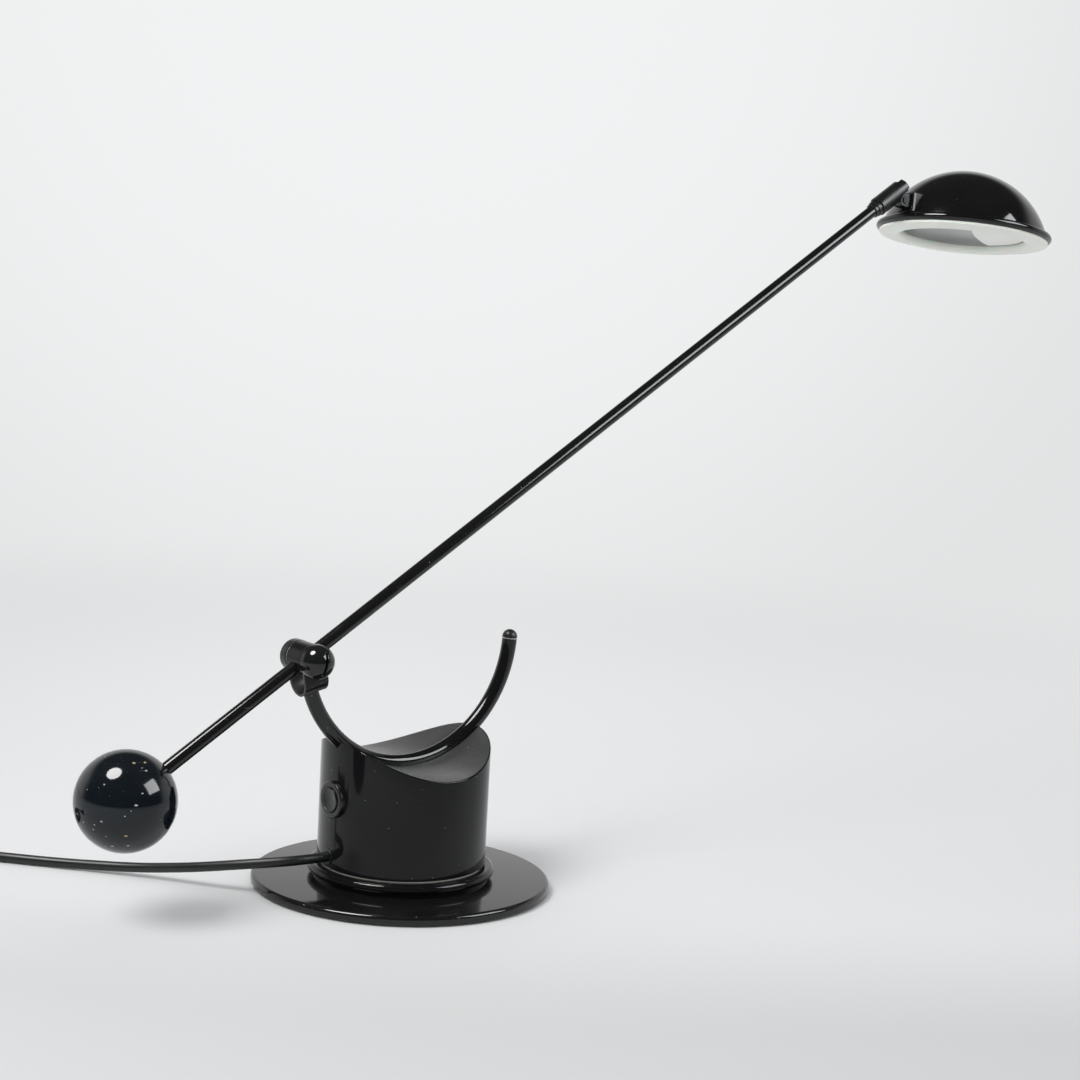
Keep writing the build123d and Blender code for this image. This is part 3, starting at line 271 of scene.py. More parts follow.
# ---------------------------------------------------------------- settings
class LampSizes(bpy.types.PropertyGroup):
    """Sizes of the lamp's own pieces, taken from its solids."""

    plate_radius: bpy.props.FloatProperty(
        name="Base radius", description="Radius of the round base", subtype="DISTANCE", unit="LENGTH",
        default=(PLATE_HIGH.x - PLATE_LOW.x) / 2, min=0.05, max=0.2)
    drum_radius: bpy.props.FloatProperty(
        name="Drum radius", description="Radius of the turning drum", subtype="DISTANCE", unit="LENGTH",
        default=51.4 * MM, min=0.03, max=0.1)
    saddle_radius: bpy.props.FloatProperty(
        name="Saddle radius", description="Radius of the drum's hollowed top", subtype="DISTANCE",
        unit="LENGTH", default=76.7 * MM, min=0.05, max=0.15)
    arc_radius: bpy.props.FloatProperty(
        name="Arc radius", description="Radius of the arc's centre line", subtype="DISTANCE",
        unit="LENGTH", default=75.5 * MM, min=0.05, max=0.15)
    arc_tube: bpy.props.FloatProperty(
        name="Arc tube radius", description="Outer radius of the arc's tube", subtype="DISTANCE",
        unit="LENGTH", default=4.65 * MM, min=0.002, max=0.01)
    ball_radius: bpy.props.FloatProperty(
        name="Ball radius", description="Radius of the counterweight", subtype="DISTANCE",
        unit="LENGTH", default=29.15 * MM, min=0.01, max=0.06)
    shade_radius: bpy.props.FloatProperty(
        name="Shade radius", description="Radius of the domed shade", subtype="DISTANCE",
        unit="LENGTH", default=60.6 * MM, min=0.03, max=0.12)
    cord_diameter: bpy.props.FloatProperty(
        name="Cord diameter", description="Outer diameter of the mains cord", subtype="DISTANCE",
        unit="LENGTH", default=6 * MM, min=0.002, max=0.012)


class LampFinishes(bpy.types.PropertyGroup):
    """Colours and wear of the lamp's finishes."""

    enamel: bpy.props.FloatVectorProperty(
        name="Enamel", description="The gloss black paint", subtype="COLOR", size=3,
        default=(0.0058, 0.0060, 0.0066), min=0, max=1)
    ball_enamel: bpy.props.FloatVectorProperty(
        name="Ball enamel", description="The ball's slightly blue black paint", subtype="COLOR", size=3,
        default=(0.0045, 0.0072, 0.0100), min=0, max=1)
    chip: bpy.props.FloatVectorProperty(
        name="Chips", description="The primer that shows where paint has chipped", subtype="COLOR",
        size=3, default=(0.55, 0.47, 0.36), min=0, max=1)
    saddle: bpy.props.FloatVectorProperty(
        name="Saddle", description="The satin paint in the drum's hollow top", subtype="COLOR", size=3,
        default=(0.050, 0.051, 0.053), min=0, max=1)
    plastic: bpy.props.FloatVectorProperty(
        name="Black plastic", description="Moulded black pieces", subtype="COLOR", size=3,
        default=(0.0075, 0.0078, 0.0082), min=0, max=1)
    cream: bpy.props.FloatVectorProperty(
        name="Cream plastic", description="The underside's ring and the lamp holder", subtype="COLOR",
        size=3, default=(0.86, 0.845, 0.79), min=0, max=1)
    cord: bpy.props.FloatVectorProperty(
        name="Cord", description="The cord's jacket", subtype="COLOR", size=3,
        default=(0.0075, 0.0090, 0.0090), min=0, max=1)
    wear: bpy.props.FloatProperty(
        name="Wear", description="How much of the paint is chipped and scratched", subtype="FACTOR",
        default=1.0, min=0, max=2)


class StudioSettings(bpy.types.PropertyGroup):
    """The camera, the lamps and the floor."""

    azimuth: bpy.props.FloatProperty(
        name="Azimuth", description="The camera's direction round the lamp", subtype="ANGLE",
        unit="ROTATION", default=radians(-38.8))
    elevation: bpy.props.FloatProperty(
        name="Elevation", description="The camera's height as an angle", subtype="ANGLE",
        unit="ROTATION", default=radians(8.04))
    roll: bpy.props.FloatProperty(
        name="Roll", description="The camera's turn about its own line of sight", subtype="ANGLE",
        unit="ROTATION", default=radians(3.08))
    distance: bpy.props.FloatProperty(
        name="Distance", description="From the camera to what it looks at", subtype="DISTANCE",
        unit="LENGTH", default=1.53621, min=0.2)
    target: bpy.props.FloatVectorProperty(
        name="Target", description="The point that the camera looks at", subtype="XYZ", unit="LENGTH",
        size=3, default=(0.09543, 0.0, 0.20794))
    focal: bpy.props.FloatProperty(
        name="Focal length", description="In millimetres, on a sensor 36 mm wide", default=82.085, min=10)
    floor: bpy.props.FloatVectorProperty(
        name="Floor", description="The pale floor", subtype="COLOR", size=3,
        default=(0.78, 0.79, 0.80), min=0, max=1)
    backdrop: bpy.props.FloatVectorProperty(
        name="Backdrop", description="The pale room as the camera sees it", subtype="COLOR", size=3,
        default=(0.80, 0.81, 0.815), min=0, max=1)


def sizes():
    return bpy.context.scene.desk_lamp_sizes


def finishes():
    return bpy.context.scene.desk_lamp_finishes


# ---------------------------------------------------------------- placing
def frame_matrix(origin, x_axis, z_axis):
    """The matrix that puts a piece drawn about Z at an origin, with its z and x turned as given."""
    z = Vector(z_axis).normalized()
    x = Vector(x_axis)
    x = (x - z * x.dot(z)).normalized()
    y = z.cross(x)
    turned = Matrix((x, y, z)).transposed().to_4x4()
    return Matrix.Translation(origin) @ turned


def arc_matrix(angle, radius):
    """Across the arc at an angle: x points outwards and z along the tube."""
    out = Vector((cos(angle), 0, sin(angle)))
    return frame_matrix(ARC_CENTRE + out * radius, out, (-sin(angle), 0, cos(angle)))


def arm_matrix(along=0.0, rolled=False):
    """Across the arm: z runs along it and x points to its underside."""
    return frame_matrix(PIVOT + ARM * along, -HEAD_UP if rolled else -ARM_UP, ARM)


def pivot_matrix():
    """About the pivot, with the piece's z along the row's Y."""
    return frame_matrix(PIVOT, (1, 0, 0), (0, 1, 0))


def pin_matrix():
    return frame_matrix(PIN, ARM, PIN_SIDE)


def head_matrix():
    """The shade's frame, its origin in the underside's outer edge."""
    up = ARM * sin(HEAD_FOLD) + HEAD_UP * cos(HEAD_FOLD)
    out = ARM * cos(HEAD_FOLD) - HEAD_UP * sin(HEAD_FOLD)
    return frame_matrix(PIN + out * PIN_TO_AXIS - up * PIN_ABOVE_RIM, out, up)


def yoke_matrix():
    """The yoke's frame at the pivot: z points away from the arc tube's end."""
    reach = STRAP_DROP + STRAP_OUT
    out = PIVOT - ARC_CENTRE
    angle = atan2(out.z, out.x) + 2 * asin(reach / (2 * sizes().arc_radius))
    away = PIVOT - ARC_CENTRE - Vector((cos(angle), 0, sin(angle))) * sizes().arc_radius
    away.normalize()
    return frame_matrix(PIVOT, (away.z, 0, -away.x), away)


# ---------------------------------------------------------------- modelling
def clear_selection():
    if bpy.context.object and bpy.context.object.mode != "OBJECT":
        bpy.ops.object.mode_set(mode="OBJECT")
    bpy.ops.object.select_all(action="DESELECT")


def activate(piece):
    clear_selection()
    piece.select_set(True)
    bpy.context.view_layer.objects.active = piece


def as_piece(name):
    """Names the object that was just added, and its mesh."""
    piece = bpy.context.object
    piece.name = name
    piece.data.name = name
    return piece


def place(piece, matrix):
    """Moves a piece's mesh, so that its object stays at the origin."""
    piece.data.transform(matrix @ piece.matrix_world)
    piece.matrix_world = Matrix.Identity(4)
    piece.data.update()
    return piece


def rounded(corners, radii, steps=5):
    """An outline with its corners turned into arcs; a corner of radius 0 stays sharp."""
    outline = []
    count = len(corners)
    for i, (corner, radius) in enumerate(zip(corners, radii)):
        here = Vector(corner)
        if radius == 0:
            outline.append(here)
            continue
        back = (Vector(corners[i - 1]) - here).normalized()
        ahead = (Vector(corners[(i + 1) % count]) - here).normalized()
        half = back.angle(ahead) / 2
        centre = here + (back + ahead).normalized() * (radius / sin(half))
        first = here + back * (radius / tan(half)) - centre
        last = here + ahead * (radius / tan(half)) - centre
        turn = atan2(first.x * last.y - first.y * last.x, first.dot(last))
        for k in range(steps + 1):
            a = turn * k / steps
            outline.append(centre + Vector((
                first.x * cos(a) - first.y * sin(a), first.x * sin(a) + first.y * cos(a))))
    return outline


def bow(centre, radius, start, end, steps):
    """Points of an arc in the outline's plane, from one angle to another."""
    return [
        Vector((centre[0] + radius * cos(start + (end - start) * k / steps),
                centre[1] + radius * sin(start + (end - start) * k / steps)))
        for k in range(steps + 1)
    ]


def turned(name, outline, closed=True, steps=STEPS):
    """Spins an outline of (radius, height) points about Z."""
    mesh = bpy.data.meshes.new(name)
    points = [(p[0], 0, p[1]) for p in outline]
    edges = [(i, i + 1) for i in range(len(points) - 1)]
    if closed:
        edges.append((len(points) - 1, 0))
    mesh.from_pydata(points, edges, [])
    piece = bpy.data.objects.new(name, mesh)
    bpy.context.scene.collection.objects.link(piece)
    activate(piece)
    bpy.ops.object.mode_set(mode="EDIT")
    bpy.ops.mesh.select_all(action="SELECT")
    bpy.ops.mesh.spin(steps=steps, angle=2 * pi, center=(0, 0, 0), axis=(0, 0, 1))
    bpy.ops.mesh.select_all(action="SELECT")
    bpy.ops.mesh.remove_doubles(threshold=1e-6)
    bpy.ops.mesh.dissolve_degenerate(threshold=1e-7)
    bpy.ops.mesh.normals_make_consistent(inside=False)
    bpy.ops.object.mode_set(mode="OBJECT")
    return piece


def apply_modifier(piece, kind, **values):
    """Adds a modifier with these values and applies it."""
    activate(piece)
    modifier = piece.modifiers.new(kind.title(), kind)
    for key, value in values.items():
        setattr(modifier, key, value)
    bpy.ops.object.modifier_apply(modifier=modifier.name)
    return piece


def cut(piece, *tools, operation="DIFFERENCE"):
    """Cuts each tool out of a piece, or joins or intersects them, and removes the tool."""
    for tool in tools:
        apply_modifier(piece, "BOOLEAN", object=tool, operation=operation, solver="EXACT")
        bpy.data.objects.remove(tool)
    return piece


def soften(piece, width, segments=2, angle=40):
    """Rounds the edges that turn by more than an angle."""
    return apply_modifier(
        piece, "BEVEL", width=width, segments=segments, limit_method="ANGLE",
        angle_limit=radians(angle), use_clamp_overlap=True, harden_normals=False)


def bar(name, radius, low, high, matrix=Matrix.Identity(4), steps=64):
    """A round bar about Z from one height to another, then placed."""
    clear_selection()
    bpy.ops.mesh.primitive_cylinder_add(
        vertices=steps, radius=radius, depth=high - low, location=(0, 0, (low + high) / 2))
    return place(as_piece(name), matrix)


def block(name, low, high, matrix=Matrix.Identity(4)):
    """A box between two corners, then placed."""
    low, high = Vector(low), Vector(high)
    clear_selection()
    bpy.ops.mesh.primitive_cube_add(size=1, location=(low + high) / 2, scale=high - low)
    return place(as_piece(name), matrix)


def finish_piece(piece, body, slot, material, *nodes, smooth=35):
    """Gives a piece its shading, finish and body, and hides the solids that it stands for."""
    activate(piece)
    if piece.type == "MESH":
        bpy.ops.object.shade_smooth_by_angle(angle=radians(smooth))
    piece.data.materials.clear()
    piece.data.materials.append(material)
    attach(piece, body)
    if nodes:
        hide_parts(*nodes)
    return piece


def dress(node, material):
    """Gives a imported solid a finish."""
    solid = frame["nodes"][node]
    solid.data.materials.clear()
    solid.data.materials.append(material)


# ---------------------------------------------------------------- finishes
def outputs_of(name, outputs, inputs=()):
    """A new node group with these sockets, and its input and output nodes."""
    group = bpy.data.node_groups.new(name, "ShaderNodeTree")
    for kind, label in outputs:
        group.interface.new_socket(label, in_out="OUTPUT", socket_type=kind)
    for kind, label, value in inputs:
        socket = group.interface.new_socket(label, in_out="INPUT", socket_type=kind)
        socket.default_value = value
    return group, group.nodes.new("NodeGroupInput"), group.nodes.new("NodeGroupOutput")


def node(tree, kind, links=(), **values):
    """A node with its properties set, and its inputs linked or given as (name, value) pairs."""
    made = tree.nodes.new(kind)
    for key, value in values.items():
        setattr(made, key, value)
    for label, value in links:
        if hasattr(value, "is_linked") or hasattr(value, "links"):
            tree.links.new(value, made.inputs[label])
        else:
            made.inputs[label].default_value = value
    return made


def maths(tree, operation, *values, clamp=False):
    """The result of a Math node on values or sockets."""
    made = node(tree, "ShaderNodeMath", list(enumerate(values)), operation=operation, use_clamp=clamp)
    return made.outputs[0]


def ramped(tree, value, low, high, to_low=0.0, to_high=1.0):
    """A value taken smoothly from one range to another."""
    made = node(
        tree, "ShaderNodeMapRange",
        [("Value", value), ("From Min", low), ("From Max", high), ("To Min", to_low), ("To Max", to_high)],
        interpolation_type="SMOOTHSTEP")
    return made.outputs["Result"]


def blended(tree, factor, first, second):
    """Two colours mixed by a factor."""
    made = node(tree, "ShaderNodeMix", data_type="RGBA")
    for socket, value in ((made.inputs[0], factor), (made.inputs[6], first), (made.inputs[7], second)):
        if hasattr(value, "links"):
            tree.links.new(value, socket)
        else:
            socket.default_value = value
    return made.outputs[2]


def opaque(colour):
    return (*colour, 1.0)


def chips_group():
    """Small ragged chips, scattered at random: a mask, and a wider mask of their raised rims."""
    group, given, result = outputs_of(
        "Paint chips", [("NodeSocketFloat", "Chip"), ("NodeSocketFloat", "Rim")],
        [("NodeSocketFloat", "Scale", 60.0), ("NodeSocketFloat", "Share", 0.1), ("NodeSocketFloat", "Size", 0.2)])
    place_at = node(group, "ShaderNodeTexCoord").outputs["Object"]
    rough = node(group, "ShaderNodeTexNoise", [("Vector", place_at), ("Scale", 900.0), ("Detail", 2.0)])
    shift = node(
        group, "ShaderNodeVectorMath",
        [(0, rough.outputs["Color"]), (1, (0.0011, 0.0011, 0.0011))], operation="MULTIPLY")
    ragged = node(
        group, "ShaderNodeVectorMath", [(0, place_at), (1, shift.outputs[0])], operation="ADD")
    cells = node(
        group, "ShaderNodeTexVoronoi", [("Vector", ragged.outputs[0]), ("Scale", given.outputs["Scale"])])
    parts = node(group, "ShaderNodeSeparateColor", [("Color", cells.outputs["Color"])])
    chosen = maths(group, "LESS_THAN", parts.outputs["Red"], given.outputs["Share"])
    reach = maths(
        group, "MULTIPLY", given.outputs["Size"], maths(group, "ADD", parts.outputs["Green"], 0.25))
    inside = maths(group, "LESS_THAN", cells.outputs["Distance"], reach)
    around = maths(group, "LESS_THAN", cells.outputs["Distance"], maths(group, "MULTIPLY", reach, 1.45))
    group.links.new(maths(group, "MULTIPLY", chosen, inside), result.inputs["Chip"])
    group.links.new(maths(group, "MULTIPLY", chosen, around), result.inputs["Rim"])
    return group


def scratches_group():
    """Hair scratches in two directions, broken up so that they stay short."""
    group, given, result = outputs_of(
        "Hair scratches", [("NodeSocketFloat", "Scratch")], [("NodeSocketFloat", "Share", 0.5)])
    place_at = node(group, "ShaderNodeTexCoord").outputs["Object"]
    lines = []
    for turn, stretch, scale in (((0.4, 0.9, 0.3), (1, 46, 46), 26.0), ((1.7, 0.2, 1.1), (1, 60, 60), 19.0)):
        turned_to = node(
            group, "ShaderNodeMapping", [("Vector", place_at), ("Rotation", turn), ("Scale", stretch)])
        hair = node(
            group, "ShaderNodeTexNoise",
            [("Vector", turned_to.outputs[0]), ("Scale", scale), ("Detail", 1.0), ("Roughness", 0.3)])
        lines.append(ramped(group, hair.outputs["Fac"], 0.735, 0.775))
    patches = node(group, "ShaderNodeTexNoise", [("Vector", place_at), ("Scale", 34.0), ("Detail", 2.0)])
    open_to = ramped(group, patches.outputs["Fac"], 0.45, 0.62)
    both = maths(group, "MAXIMUM", *lines)
    shown = maths(group, "MULTIPLY", maths(group, "MULTIPLY", both, open_to), given.outputs["Share"])
    group.links.new(shown, result.inputs["Scratch"])
    return group


def dust_group():
    """Dust that lies on what faces up: a haze in patches, and single specks."""
    group, given, result = outputs_of(
        "Settled dust", [("NodeSocketFloat", "Haze"), ("NodeSocketFloat", "Speck")])
    place_at = node(group, "ShaderNodeTexCoord").outputs["Object"]
    facing = node(group, "ShaderNodeSeparateXYZ", [("Vector", node(group, "ShaderNodeNewGeometry").outputs["Normal"])])
    up = ramped(group, facing.outputs["Z"], 0.1, 0.95)
    cloud = node(
        group, "ShaderNodeTexNoise", [("Vector", place_at), ("Scale", 45.0), ("Detail", 5.0), ("Roughness", 0.6)])
    haze = maths(group, "MULTIPLY", up, ramped(group, cloud.outputs["Fac"], 0.4, 0.75, 0.25, 1.0))
    cells = node(group, "ShaderNodeTexVoronoi", [("Vector", place_at), ("Scale", 330.0)])
    parts = node(group, "ShaderNodeSeparateColor", [("Color", cells.outputs["Color"])])
    chosen = maths(group, "LESS_THAN", parts.outputs["Red"], 0.16)
    small = maths(group, "LESS_THAN", cells.outputs["Distance"], maths(group, "MULTIPLY", parts.outputs["Blue"], 0.13))
    group.links.new(haze, result.inputs["Haze"])
    group.links.new(maths(group, "MULTIPLY", chosen, small), result.inputs["Speck"])
    return group


def marks_group():
    """Ragged marks within a radius of one place: a mask."""
    group, given, result = outputs_of(
        "Marks at a place", [("NodeSocketFloat", "Mark")],
        [("NodeSocketVector", "Place", (0, 0, 0)), ("NodeSocketFloat", "Radius", 0.004),
         ("NodeSocketVector", "Stretch", (1, 1, 2)), ("NodeSocketFloat", "Share", 0.5)])
    place_at = node(group, "ShaderNodeTexCoord").outputs["Object"]
    off = node(group, "ShaderNodeVectorMath", [(0, place_at), (1, given.outputs["Place"])], operation="SUBTRACT")
    scaled = node(group, "ShaderNodeVectorMath", [(0, off.outputs[0]), (1, given.outputs["Stretch"])], operation="MULTIPLY")
    reach = node(group, "ShaderNodeVectorMath", [(0, scaled.outputs[0])], operation="LENGTH").outputs["Value"]
    near = ramped(group, maths(group, "DIVIDE", reach, given.outputs["Radius"]), 0.35, 1.0, 1.0, 0.0)
    ragged = node(group, "ShaderNodeTexNoise", [("Vector", place_at), ("Scale", 1700.0), ("Detail", 3.0), ("Roughness", 0.6)])
    over = maths(group, "MULTIPLY", near, ragged.outputs["Fac"])
    limit = maths(group, "SUBTRACT", 0.7, maths(group, "MULTIPLY", given.outputs["Share"], 0.4))
    group.links.new(ramped(group, maths(group, "SUBTRACT", over, limit), 0.0, 0.03), result.inputs["Mark"])
    return group


def smears_group():
    """Slow, uneven patches, as handling leaves on gloss paint."""
    group, given, result = outputs_of("Handling smears", [("NodeSocketFloat", "Smear"), ("NodeSocketFloat", "Fine")])
    place_at = node(group, "ShaderNodeTexCoord").outputs["Object"]
    slow = node(
        group, "ShaderNodeTexNoise",
        [("Vector", place_at), ("Scale", 22.0), ("Detail", 4.0), ("Distortion", 0.6)])
    fine = node(group, "ShaderNodeTexNoise", [("Vector", place_at), ("Scale", 420.0), ("Detail", 2.0)])
    group.links.new(ramped(group, slow.outputs["Fac"], 0.35, 0.7), result.inputs["Smear"])
    group.links.new(fine.outputs["Fac"], result.inputs["Fine"])
    return group


def shared(name, build):
    """A node group by its name, built on first use."""
    return bpy.data.node_groups.get(name) or build()


def use(tree, name, build, **values):
    made = node(tree, "ShaderNodeGroup", node_tree=shared(name, build))
    for key, value in values.items():
        made.inputs[key].default_value = value
    return made


def plain(name, colour, roughness, metallic=0.0, **sockets):
    """A material whose one shader has its colour and roughness set."""
    material = bpy.data.materials.get(name)
    if material:
        return material, None, None
    material = bpy.data.materials.new(name)
    material.use_nodes = True
    tree = material.node_tree
    shader = tree.nodes["Principled BSDF"]
    shader.inputs["Base Color"].default_value = opaque(colour)
    shader.inputs["Roughness"].default_value = roughness
    shader.inputs["Metallic"].default_value = metallic
    for key, value in sockets.items():
        shader.inputs[key.replace("_", " ")].default_value = value
    return material, tree, shader


def enamelled(name, colour, roughness, chip_share, chip_size, scratch, dust, peel=0.02, chip_scale=60.0, gloss=0.3, marks=()):
    """Sprayed enamel with chips, hair scratches, smears, dust and a little orange peel."""
    material, tree, shader = plain(name, colour, roughness, Specular_IOR_Level=gloss)
    if tree is None:
        return material
    worn = finishes().wear
    chips = use(tree, "Paint chips", chips_group, Scale=chip_scale, Share=chip_share * worn, Size=chip_size)
    hairs = use(tree, "Hair scratches", scratches_group, Share=scratch * worn)
    settled = use(tree, "Settled dust", dust_group)
    smears = use(tree, "Handling smears", smears_group)
    dusty = maths(tree, "MULTIPLY", settled.outputs["Haze"], 0.012 * dust)
    base = blended(tree, dusty, opaque(colour), (0.52, 0.50, 0.46, 1.0))
    base = blended(tree, maths(tree, "MULTIPLY", settled.outputs["Speck"], min(0.5 * dust, 1.0)), base, (0.55, 0.54, 0.5, 1.0))
    base = blended(tree, maths(tree, "MULTIPLY", hairs.outputs[0], 0.16), base, (0.42, 0.43, 0.44, 1.0))
    base = blended(tree, chips.outputs["Chip"], base, opaque(finishes().chip))
    chipped = chips.outputs["Chip"]
    for at, radius, share, colour_of in marks:
        mark = use(
            tree, "Marks at a place", marks_group, Place=tuple(c * MM for c in at), Radius=radius * MM,
            Share=share * worn)
        base = blended(tree, mark.outputs["Mark"], base, opaque(colour_of))
        chipped = maths(tree, "MAXIMUM", chipped, mark.outputs["Mark"])
    tree.links.new(base, shader.inputs["Base Color"])
    rough = maths(tree, "ADD", roughness, maths(tree, "MULTIPLY", smears.outputs["Smear"], 0.5 * roughness))
    rough = maths(tree, "ADD", rough, maths(tree, "MULTIPLY", settled.outputs["Haze"], 0.06 * dust))
    rough = maths(tree, "ADD", rough, maths(tree, "MULTIPLY", chipped, 0.5), clamp=True)
    tree.links.new(rough, shader.inputs["Roughness"])
    height = maths(
        tree, "SUBTRACT", maths(tree, "MULTIPLY", smears.outputs["Fine"], peel),
        maths(tree, "ADD", chips.outputs["Rim"], maths(tree, "MULTIPLY", hairs.outputs[0], 0.2)))
    bump = node(tree, "ShaderNodeBump", [("Height", height), ("Strength", 0.5), ("Distance", 0.0001)])
    tree.links.new(bump.outputs[0], shader.inputs["Normal"])
    return material


def moulded(name, colour, roughness, dust=1.0, grain=0.3, **sockets):
    """Moulded plastic or rubber: even, with a fine grain and a little dust."""
    material, tree, shader = plain(name, colour, roughness, **sockets)
    if tree is None:
        return material
    settled = use(tree, "Settled dust", dust_group)
    smears = use(tree, "Handling smears", smears_group)
    base = blended(tree, maths(tree, "MULTIPLY", settled.outputs["Haze"], 0.014 * dust), opaque(colour), (0.5, 0.48, 0.44, 1.0))
    base = blended(tree, maths(tree, "MULTIPLY", settled.outputs["Speck"], min(0.35 * dust, 1.0)), base, (0.5, 0.49, 0.46, 1.0))
    tree.links.new(base, shader.inputs["Base Color"])
    rough = maths(tree, "ADD", roughness, maths(tree, "MULTIPLY", smears.outputs["Smear"], 0.25 * roughness), clamp=True)
    tree.links.new(rough, shader.inputs["Roughness"])
    bump = node(tree, "ShaderNodeBump", [("Height", smears.outputs["Fine"]), ("Strength", grain), ("Distance", 0.00006)])
    tree.links.new(bump.outputs[0], shader.inputs["Normal"])
    return material


def metal(name, colour, roughness, grain=0.2):
    """Bare metal with a slightly uneven polish."""
    material, tree, shader = plain(name, colour, roughness, metallic=1.0)
    if tree is None:
        return material
    smears = use(tree, "Handling smears", smears_group)
    rough = maths(tree, "ADD", roughness, maths(tree, "MULTIPLY", smears.outputs["Smear"], 0.4 * roughness), clamp=True)
    tree.links.new(rough, shader.inputs["Roughness"])
    bump = node(tree, "ShaderNodeBump", [("Height", smears.outputs["Fine"]), ("Strength", grain), ("Distance", 0.00005)])
    tree.links.new(bump.outputs[0], shader.inputs["Normal"])
    return material


GREY_MARK = (0.30, 0.31, 0.32)
PALE_MARK = (0.40, 0.40, 0.38)
TAN_MARK = (0.36, 0.27, 0.17)
# place in mm, radius, share of it that is worn, and what shows there
DISC_MARKS = (
    ((-87.2, -25.9, 5.6), 1.6, 0.45, PALE_MARK), ((-66.5, -62.1, 6.4), 1.3, 0.4, PALE_MARK),
    ((-24.6, -87.8, 5.0), 2.0, 0.45, GREY_MARK), ((-21.2, -88.6, 5.2), 2.2, 0.45, PALE_MARK),
    ((-28.5, -86.6, 5.4), 1.5, 0.4, GREY_MARK), ((-44.0, -78.6, 6.2), 1.2, 0.4, GREY_MARK),
    ((60.0, -64.0, 6.4), 1.3, 0.35, GREY_MARK),
)
BODY_MARKS = (
    ((-50.7, 8.6, 78.8), 1.9, 0.4, GREY_MARK), ((-49.0, 15.7, 80.8), 1.8, 0.4, GREY_MARK),
    ((-51.3, 3.1, 75.8), 1.6, 0.35, GREY_MARK), ((-60.2, -4.0, 103.7), 2.2, 0.45, GREY_MARK),
    ((41.9, -30.0, 92.0), 1.8, 0.45, GREY_MARK), ((39.0, -33.8, 97.0), 1.8, 0.45, GREY_MARK),
)
ARM_MARKS = (
    ((8.8, -3.5, 199.0), 1.7, 0.45, TAN_MARK), ((217.0, -3.1, 328.3), 1.5, 0.4, GREY_MARK),
    ((280.3, -3.3, 366.8), 1.8, 0.45, GREY_MARK),
)
BALL_MARKS = (
    ((-215.1, -16.2, 68.4), 1.5, 0.8, PALE_MARK), ((-217.0, -11.6, 65.7), 1.2, 0.8, PALE_MARK),
    ((-211.7, -15.5, 59.5), 1.1, 0.8, TAN_MARK), ((-206.7, -13.8, 52.9), 1.6, 0.8, PALE_MARK),
    ((-200.0, -19.5, 53.6), 1.5, 0.8, PALE_MARK), ((-203.5, -23.1, 60.5), 1.9, 0.8, TAN_MARK),
    ((-200.2, -27.4, 78.4), 1.9, 0.8, PALE_MARK), ((-205.8, -25.4, 72.4), 1.0, 0.8, PALE_MARK),
    ((-196.1, -26.6, 84.5), 1.2, 0.8, PALE_MARK), ((-190.1, -19.6, 95.1), 1.4, 0.8, PALE_MARK),
    ((-194.9, -14.1, 98.8), 1.8, 0.8, TAN_MARK), ((-188.1, -14.7, 98.5), 1.8, 0.8, TAN_MARK),
    ((-212.5, -13.5, 88.4), 1.1, 0.8, PALE_MARK), ((-219.3, -3.4, 65.6), 1.3, 0.8, GREY_MARK),
)


def enamel():
    return enamelled("Black enamel", finishes().enamel, 0.065, 0.006, 0.06, 0.0, 0.6, gloss=0.24, marks=BODY_MARKS)


def arc_enamel():
    return enamelled("Arc enamel", finishes().enamel, 0.05, 0.004, 0.05, 0.2, 0.5, peel=0.012, gloss=0.45, marks=BODY_MARKS[3:4])


def disc_enamel():
    return enamelled("Base enamel", finishes().enamel, 0.045, 0.045, 0.09, 0.6, 1.4, gloss=0.42, marks=DISC_MARKS)


def shade_enamel():
    return enamelled("Shade enamel", finishes().enamel, 0.065, 0.0, 0.05, 0.2, 0.4, peel=0.012, gloss=0.45)


def ball_enamel():
    return enamelled("Ball enamel", finishes().ball_enamel, 0.05, 0.2, 0.085, 0.5, 1.0, chip_scale=240.0, gloss=0.40, marks=BALL_MARKS)


def saddle_enamel():
    return enamelled("Saddle enamel", finishes().saddle, 0.22, 0.006, 0.05, 0.4, 1.2, peel=0.04, gloss=1.0)


# Lighter grey edge finish: a painted highlight for the bracket's front chamfers, with a few hair scratches and dust.
def painted_highlight_edge():
    return enamelled("Painted highlight edge", (0.30, 0.30, 0.30), 0.3, 0.0, 0.05, 0.4, 0.6, peel=0.06, gloss=0.6)


# Satin grey for the strap's inner faces: its lighter colour is a painted sheen, with real hair scratches and dust.
def wear_and_painted_sheen_inside():
    return enamelled("Strap inside", (0.045, 0.045, 0.043), 0.4, 0.0, 0.05, 0.8, 1.0, peel=0.1, gloss=0.6)


def satin_enamel():
    return enamelled("Satin enamel", finishes().enamel, 0.27, 0.004, 0.05, 0.3, 0.5, peel=0.05, gloss=0.45)


def knob_plastic():
    return moulded("Knob gloss", finishes().plastic, 0.06, 1.3, 0.05)


def arm_enamel():
    return enamelled("Arm enamel", finishes().enamel, 0.08, 0.004, 0.05, 0.9, 0.7, peel=0.03, gloss=0.45, marks=ARM_MARKS)


def holder_plastic():
    return moulded("Lamp holder", (0.86, 0.86, 0.83), 0.35, 0.2, 0.1)


def black_plastic():
    return moulded("Black plastic", finishes().plastic, 0.22, 1.0, 0.15)


def cap_rubber():
    return moulded("Cap rubber", finishes().plastic, 0.38, 1.2, 0.4)


def foot_rubber():
    return moulded("Foot rubber", (0.02, 0.02, 0.021), 0.8, 0.5, 0.8)


def cord_rubber():
    return moulded("Cord jacket", finishes().cord, 0.36, 0.8, 0.35)


def nylon():
    return moulded("Nylon", (0.62, 0.61, 0.55), 0.42, 0.3, 0.2)


def cream_plastic():
    return moulded(
        "Cream plastic", finishes().cream, 0.33, 0.2, 0.1, Subsurface_Weight=0.35, Subsurface_Scale=0.004)


